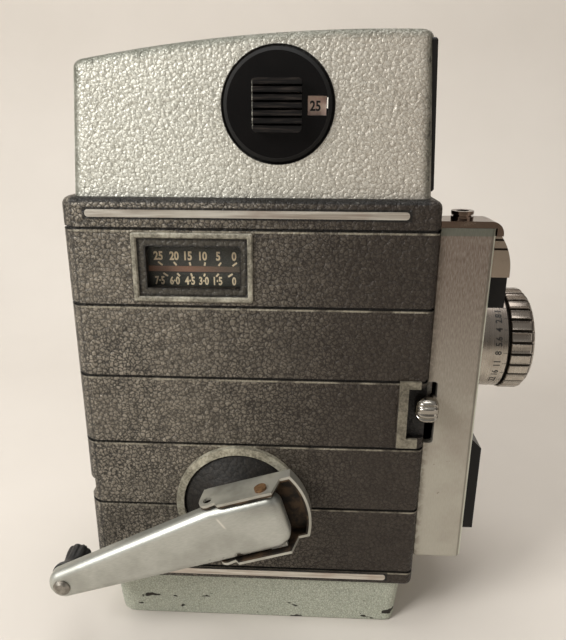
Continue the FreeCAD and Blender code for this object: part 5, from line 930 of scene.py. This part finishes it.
# %% Lens ring
def grooved_ring(name, back, outer, grooves, depth):
    """Profile (x, radius) turned about the lens axis. A land at an angle a from its middle has the
    radius outer cos(w) / cos(a), a flat whose ends at the angle w touch the circle. In a groove the
    depth comes off: all of it at the groove's bottom, none past its lip, eased between. Towards the
    bore the grooves run out."""
    bore, throat, bottom, lip = 13.05, 11.05, 0.22, 0.46
    profile = eased([(0.0, bore), (4.4, bore), (4.4, throat), (6.2, throat), (6.8, throat + 0.9),
                     (6.8, outer - 1.6), (5.8, outer - 0.6), (5.4, outer), (0.0, outer)],
                    [0.05, 0.05, 0.05, 0.1, 0.15, 0.25, 0.3, 0.3, 0.3])
    pitch = 2 * np.pi * outer / grooves
    near = np.array([bottom, 0.3, 0.38, lip, 0.52])
    offsets = np.concatenate([-near[::-1], near, [pitch / 2 - 0.4, pitch / 2 + 0.4]])
    step = np.clip((lip - np.abs(offsets)) / (lip - bottom), 0.0, 1.0)
    from_land = (np.mod(offsets, pitch) - pitch / 2) / outer
    flat = outer * (1 - np.cos(0.5 * pitch / outer) / np.cos(from_land)) * (np.abs(offsets) > lip + 0.02)
    cut = np.tile(depth * step * step * (3 - 2 * step) + flat, grooves)
    angle = ((np.arange(grooves)[:, None] * pitch + offsets[None, :]) / outer).ravel()
    share = np.clip((profile[:, 1] - outer + 1.55) / 0.9, 0.0, 1.0)
    radius = profile[:, 1][:, None] - cut[None, :] * share[:, None]
    x = np.broadcast_to((profile[:, 0] + back)[:, None], radius.shape)
    y, z = LENS_AXIS[0] + radius * np.cos(angle), LENS_AXIS[1] + radius * np.sin(angle)
    return outward(skin(name, np.stack([x, y, z], axis=-1), around=True, along=True))


ring = grooved_ring("lens_ring_grooved", back=71.1, outer=15.05, grooves=28, depth=0.7)
ring.data.materials.append(metals["ring"])
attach(ring, "lens_turning")
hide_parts("focus_ring")
print("lens ring:", len(ring.data.polygons), "faces")

# %% [markdown]
# ## The run lever's thumb
# The lever is a small chrome pad, rounded like a pebble and ribbed so that a thumb holds it. Boxes
# with rounded edges look made of parts. A pebble is one superellipse: a circle whose squares are
# swapped for higher powers, which flattens its sides and tightens its corners. Its outer face is
# lowered between ribs by a cosine.

# %% Thumb pad
def ribbed_pebble(name, low, high, power, ribs, depth):
    """A closed pad between the corners low and high. Over the angle t round x, and s from -1 to 1
    along it, a side is sign(cos t) |cos t|^(2/power), scaled by (1 - |s|^power)^(1/power) towards
    both ends. Between ribs the outer face goes in by depth."""
    low, high = np.array(low), np.array(high)
    middle, half = (low + high) / 2, (high - low) / 2
    t = np.linspace(0.0, 2 * np.pi, 96, endpoint=False)
    s = np.sin(np.linspace(-0.5 * np.pi, 0.5 * np.pi, 25))
    round_end = (1 - np.abs(s[:, None]) ** power).clip(0.0) ** (1 / power)
    out = np.sign(np.cos(t)) * np.abs(np.cos(t)) ** (2 / power)
    up = np.sign(np.sin(t)) * np.abs(np.sin(t)) ** (2 / power)
    outer_face, clear_of_corners = out < -0.3, np.abs(up) < 0.86
    rib = 0.5 - 0.5 * np.cos(np.pi * ribs * (up + 1))
    inset = depth * (1 - rib) ** 2 * outer_face * clear_of_corners
    y = middle[1] + (half[1] * out + inset) * round_end
    z = middle[2] + half[2] * up * round_end
    x = np.broadcast_to((middle[0] + half[0] * s)[:, None], y.shape)
    return outward(skin(name, np.stack([x, y, z], axis=-1), around=True))


thumb = ribbed_pebble("lever_thumb", (41.6, -32.6, 70.2), (47.6, -25.4, 77.0), power=3.0, ribs=4, depth=0.6)
stem = ribbed_pebble("lever_stem", (45.5, -29.0, 72.2), (47.2, -21.8, 74.8), power=8.0, ribs=1, depth=0.0)
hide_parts("run_lever")
for piece in (thumb, stem):
    piece.data.materials.append(metals["pad"])
    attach(piece, "run_control")
print("lever:", len(thumb.data.polygons) + len(stem.data.polygons), "faces")

# %% [markdown]
# ## The winding knob
# The knob is moulded resin: narrow at the waist, flared where it meets the arm and thick again at
# its end, with shallow ribs. It is a profile turned about its rivet, with the radius lowered between
# ribs, and a sum of sines lowers the end where years of winding have chipped it.

# %% Winding knob
def fluted_knob(name, tip, foot, flutes, depth):
    """Profile (radius, y) turned about the rivet. Between ribs the radius drops by depth times a
    cosine to the fourth power, faded out towards the waist; a sum of sines chips the end."""
    bore, recess = 1.45, 2.4
    profile = eased([(bore, tip - 1.4), (recess, tip - 1.4), (recess, tip), (2.95, tip), (3.5, tip - 0.8),
                     (3.4, tip - 3.4), (2.9, foot + 4.4), (3.1, foot + 2.6), (4.4, foot + 1.0),
                     (4.4, foot + 0.2), (bore, foot + 0.2)],
                    [0.2, 0.2, 0.2, 0.4, 0.5, 1.6, 1.4, 1.2, 0.4, 0.3, 0.1], steps=6)
    angle = np.linspace(0.0, 2 * np.pi, flutes * 16, endpoint=False)
    valley = np.cos(angle * flutes / 2) ** 4
    chips = 0.2 * np.sin(angle * 3 + 1.0) + 0.14 * np.sin(angle * 7 + 0.4) + 0.1 * np.sin(angle * 17)
    radius, along = profile[:, :1], profile[:, 1:]
    outside = np.clip((radius - 2.5) / 0.5, 0.0, 1.0)
    ribbed = np.clip((along - (foot + 4.2)) / 2.0, 0.0, 1.0) * outside
    end = np.clip((along - (tip - 1.2)) / 1.2, 0.0, 1.0) * outside
    radius = radius - depth * valley * ribbed + (chips - 0.1) * end * 0.6
    y = along - np.abs(chips) * end
    x, z = KNOB_AXIS[0] + radius * np.cos(angle), KNOB_AXIS[1] + radius * np.sin(angle)
    return outward(skin(name, np.stack([x, y, z], axis=-1), around=True, along=True))


knob = fluted_knob("winding_knob", tip=-27.7, foot=-37.9, flutes=9, depth=0.26)
knob.data.materials.append(darks["resin"])
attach(knob, "knob")
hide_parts("crank_knob")
print("knob:", len(knob.data.polygons), "faces")

# %% [markdown]
# ## Printed numbers
# The counter counts feet above and metres below. Print could be an image on the dial, but an image
# blurs close up and needs a file of its own. Printing is a film of ink, so each number is a flat
# text turned into a mesh and laid a hair above its face. Only plain numbers are printed.

# %% Counter numbers
def number(name, text, place, height, ink, weight, narrow=0.8):
    """Text as a mesh whose points are sent through place(across, up), both in millimetres from the
    middle of the text; weight thickens the strokes and narrow squeezes the width."""
    curve = bpy.data.curves.new(name, "FONT")
    curve.body = text
    curve.size = 1.0
    curve.offset = weight
    curve.resolution_u = 3
    source = bpy.data.objects.new(name + "_source", curve)
    bpy.context.scene.collection.objects.link(source)
    bpy.context.view_layer.update()
    mesh = bpy.data.meshes.new_from_object(source.evaluated_get(bpy.context.evaluated_depsgraph_get()))
    bpy.data.objects.remove(source)
    flat = np.zeros(len(mesh.vertices) * 3)
    mesh.vertices.foreach_get("co", flat)
    flat = flat.reshape(-1, 3)
    size = flat.max(axis=0) - flat.min(axis=0)
    middle = (flat.max(axis=0) + flat.min(axis=0)) / 2
    scale = height / size[1]
    across, up = (flat[:, 0] - middle[0]) * scale * narrow, (flat[:, 1] - middle[1]) * scale
    mesh.vertices.foreach_set("co", (place(across, up) * MM).ravel())
    mesh.name = name
    mesh.materials.clear()
    mesh.materials.append(ink)
    piece = bpy.data.objects.new(name, mesh)
    bpy.context.scene.collection.objects.link(piece)
    return piece


def on_side(x, y, z):
    """Lays print flat on a face that looks along -Y, with its middle at (x, y, z)."""
    return lambda across, up: np.stack([x + across, np.full_like(up, y), z + up], axis=-1)


def tick(name, start, end, width, y, ink):
    """A stroke from start to end, both (x, z), with square ends, on a face that looks along -Y."""
    start, end = np.array(start), np.array(end)
    along = (end - start) / np.linalg.norm(end - start)
    side = np.array([-along[1], along[0]]) * width / 2
    corner = np.array([[start + side, start - side], [end + side, end - side]])
    points = np.stack([corner[..., 0], np.full((2, 2), y), corner[..., 1]], axis=-1)
    piece = skin(name, points, smooth=False)
    piece.data.materials.append(ink)
    return piece


COUNTER_PRINT_Y = -23.13
STROKE = 0.035
cream = darks["cream"]
feet = zip(("25", "20", "15", "10", "5", "0"), (-24.2, -20.15, -16.6, -12.8, -9.0, -5.0))
metres = zip(("7.5", "6.0", "4.5", "3.0", "1.5", "0"), (-24.1, -20.25, -16.4, -12.8, -9.2, -5.1))
for index, (text, x) in enumerate(feet):
    piece = number(f"feet_{index}", text, on_side(x, COUNTER_PRINT_Y, 111.2), 2.3, cream, STROKE)
    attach(piece, "case")
for index, (text, x) in enumerate(metres):
    text = text.replace(".", "\u00b7")
    piece = number(f"metres_{index}", text, on_side(x, COUNTER_PRINT_Y, 104.8), 2.2, cream, STROKE, 0.72)
    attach(piece, "case")
# The ticks fan out: each leans by its own lean, from its number towards the band in the middle.
for index in range(6):
    lean = (2.5 - index) * 0.28
    top, low = -23.6 + index * 3.72, -22.4 + index * 3.25
    upper_ends = (top - lean, 109.6), (top + lean * 0.6, 108.75)
    lower_ends = (low - lean, 106.7), (low + lean * 0.6, 105.95)
    upper = tick(f"feet_tick_{index}", *upper_ends, 0.45, COUNTER_PRINT_Y, cream)
    lower = tick(f"metres_tick_{index}", *lower_ends, 0.45, COUNTER_PRINT_Y, cream)
    for piece in (upper, lower):
        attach(piece, "case")
print("counter numbers and ticks printed at y", COUNTER_PRINT_Y)

# %% [markdown]
# ## The film speed scale
# The speed scale is a card under the dial. As the dial turns, its window uncovers one number after
# another, so the numbers stand in a circle, each turned to be read from its own place. Turning
# each text object by hand would leave a turn to apply. Here its points are laid out turned.

# %% Film speed scale
SCALE_PRINT_Y, DIAL_PRINT_Y = -23.93, -25.93


def on_scale(angle, reach):
    """Lays print at reach from the dial's middle, turned by angle in degrees from +X towards +Z."""
    turn = np.radians(angle)

    def place(across, up):
        x = DIAL_CENTRE[0] + (reach + across) * np.cos(turn) - up * np.sin(turn)
        z = DIAL_CENTRE[1] + (reach + across) * np.sin(turn) + up * np.cos(turn)
        return np.stack([x, np.full_like(up, SCALE_PRINT_Y), z], axis=-1)

    return place


speeds = {-25: "40", 0: "25", 30: "20", 60: "16", 90: "12", 120: "10", 150: "8", 180: "6", 205: "5"}
for angle, text in speeds.items():
    piece = number(f"speed_{text}", text, on_scale(angle, 8.6), 2.3, darks["black"], 0.03, 0.85)
    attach(piece, "case")
mark = tick("dial_mark", (17.3, 146.2), (17.35, 148.6), 0.28, DIAL_PRINT_Y, darks["white"])
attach(mark, "dial")
print("film speeds printed:", ", ".join(speeds.values()))

# %% [markdown]
# ## The aperture scale
# The lens barrel carries an aperture scale. Flat numbers would stand off a round barrel at their
# sides, so its print wraps round: a number's width becomes an angle about the lens axis, and its
# height a place along it.

# %% Aperture scale
BARREL_RADIUS, INK = 14.6, 0.03


def on_barrel(angle, x):
    """Wraps print round the barrel: across becomes an angle about the lens axis, up becomes -x."""
    reach = BARREL_RADIUS + INK

    def place(across, up):
        turn = np.radians(angle) - across / BARREL_RADIUS
        y, z = LENS_AXIS[0] - reach * np.cos(turn), LENS_AXIS[1] - reach * np.sin(turn)
        return np.stack([x - up, y, z], axis=-1)

    return place


apertures = ("22", "16", "11", "8", "5.6", "4", "2.8", "1.9")
for index, text in enumerate(apertures):
    angle = 38.0 - index * 13.0
    piece = number(f"aperture_{index}", text, on_barrel(angle, 67.6), 1.9, darks["black"], 0.02, 0.9)
    line = number(f"aperture_line_{index}", "|", on_barrel(angle, 69.6), 1.1, darks["black"], 0.02, 0.9)
    for part in (piece, line):
        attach(part, "case")
print("apertures printed:", ", ".join(apertures))

# %% [markdown]
# ## The floor
# The camera stands on a pale floor that curves up into a pale wall, so no line crosses the picture. A
# plane and a wall would meet in a line. The floor is one more surface: a profile of floor, quarter
# round and wall, carried sideways.

# %% Floor
def studio(name, front, turn, radius, height, width):
    """Floor from y=front to y=turn, then a quarter circle of radius, then a wall up to height."""
    bend = np.linspace(0.0, np.pi / 2, 24)
    y = np.concatenate([[front], turn + radius * np.sin(bend), [turn + radius]])
    z = np.concatenate([[0.0], radius - radius * np.cos(bend), [height]])
    x = np.linspace(-width / 2, width / 2, 5)
    points = np.stack(np.broadcast_arrays(x[None, :], y[:, None], z[:, None]), axis=-1)
    return skin(name, points)


def pale(name, colour):
    """Pale paper, a little lighter in wide soft clouds, with a faint tooth."""
    f = Finish(name)
    mixed = f.blend(shade(*colour), shade(226, 220, 212), f.noise(60.0, 3.0) * 0.3)
    return f.done(mixed, 0.85, 0.0, f.dented(f.noise(1.2, 2.0) * 0.03, 0.2))


floor = studio("studio_floor", front=-1500.0, turn=160.0, radius=220.0, height=1800.0, width=9000.0)
floor.data.materials.append(pale("studio_pale", (204, 197, 188)))
floor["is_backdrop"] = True
print("floor:", len(floor.data.polygons), "faces")

# %% [markdown]
# ## Light
# A small lamp draws hard shadows. The light here is soft: a panel from the upper left, a weaker and
# warmer one from the right, and a wide one overhead. The air of the room is dim and warm at eye
# level, so that polished metal has something dark to mirror.

# %% Light
def panel(name, spot, target, size, power, colour=(1.0, 1.0, 1.0)):
    """A square light of size millimetres at spot, facing target."""
    data = bpy.data.lights.new(name, "AREA")
    data.size = size * MM
    data.energy = power
    data.color = colour
    light = bpy.data.objects.new(name, data)
    back = np.array(spot, float) - np.array(target, float)
    back /= np.linalg.norm(back)
    right = np.cross((0.0, 0.0, 1.0), back)
    right /= np.linalg.norm(right)
    pose = np.eye(4)
    pose[:3, 0], pose[:3, 1], pose[:3, 2] = right, np.cross(back, right), back
    pose[:3, 3] = np.array(spot) * MM
    light.matrix_world = pose.T.tolist()
    bpy.context.scene.collection.objects.link(light)


def studio_air(name, low, high):
    """The room around the stage, seen along any direction d: dim and warm at eye level and to the
    right, pale overhead and to the left, by the product of d with a leaning upward line."""
    world = bpy.data.worlds.new(name)
    world.use_nodes = True
    air = Recipe(world.node_tree)
    way = air.node("ShaderNodeTexCoord", {}, {}, "Generated")
    dot = {"operation": "DOT_PRODUCT"}
    upward = air.node("ShaderNodeVectorMath", dot, {0: way, 1: (-0.4, 0.0, 0.9)}, "Value")
    glow = air.node("ShaderNodeBackground", {}, {"Color": air.blend(low, high, upward.rise(-0.25, 0.75))})
    air.node("ShaderNodeOutputWorld", {}, {"Surface": glow})
    return world


MIDDLE = (0.0, 0.0, 80.0)
panel("key_light", (-430.0, -360.0, 430.0), MIDDLE, size=260.0, power=4.2, colour=(1.0, 0.99, 0.97))
panel("fill_light", (760.0, -520.0, 260.0), MIDDLE, size=500.0, power=0.8, colour=(1.0, 0.95, 0.9))
panel("top_light", (40.0, 60.0, 900.0), (0.0, 0.0, 100.0), size=500.0, power=3.4)
bpy.context.scene.world = studio_air("studio_air", (0.1, 0.085, 0.075, 1.0), (0.5, 0.49, 0.47, 1.0))
bpy.context.scene.view_settings.view_transform = "Standard"

# %% [markdown]
# ## Sizes
# The camera's box before and after the looks is printed.

# %% Sizes
visual_box = [list(corner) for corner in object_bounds()]
for title, box in (("CAD box", cad_box), ("visual box", visual_box)):
    print(title, np.round(np.array(box) / MM, 1).tolist())
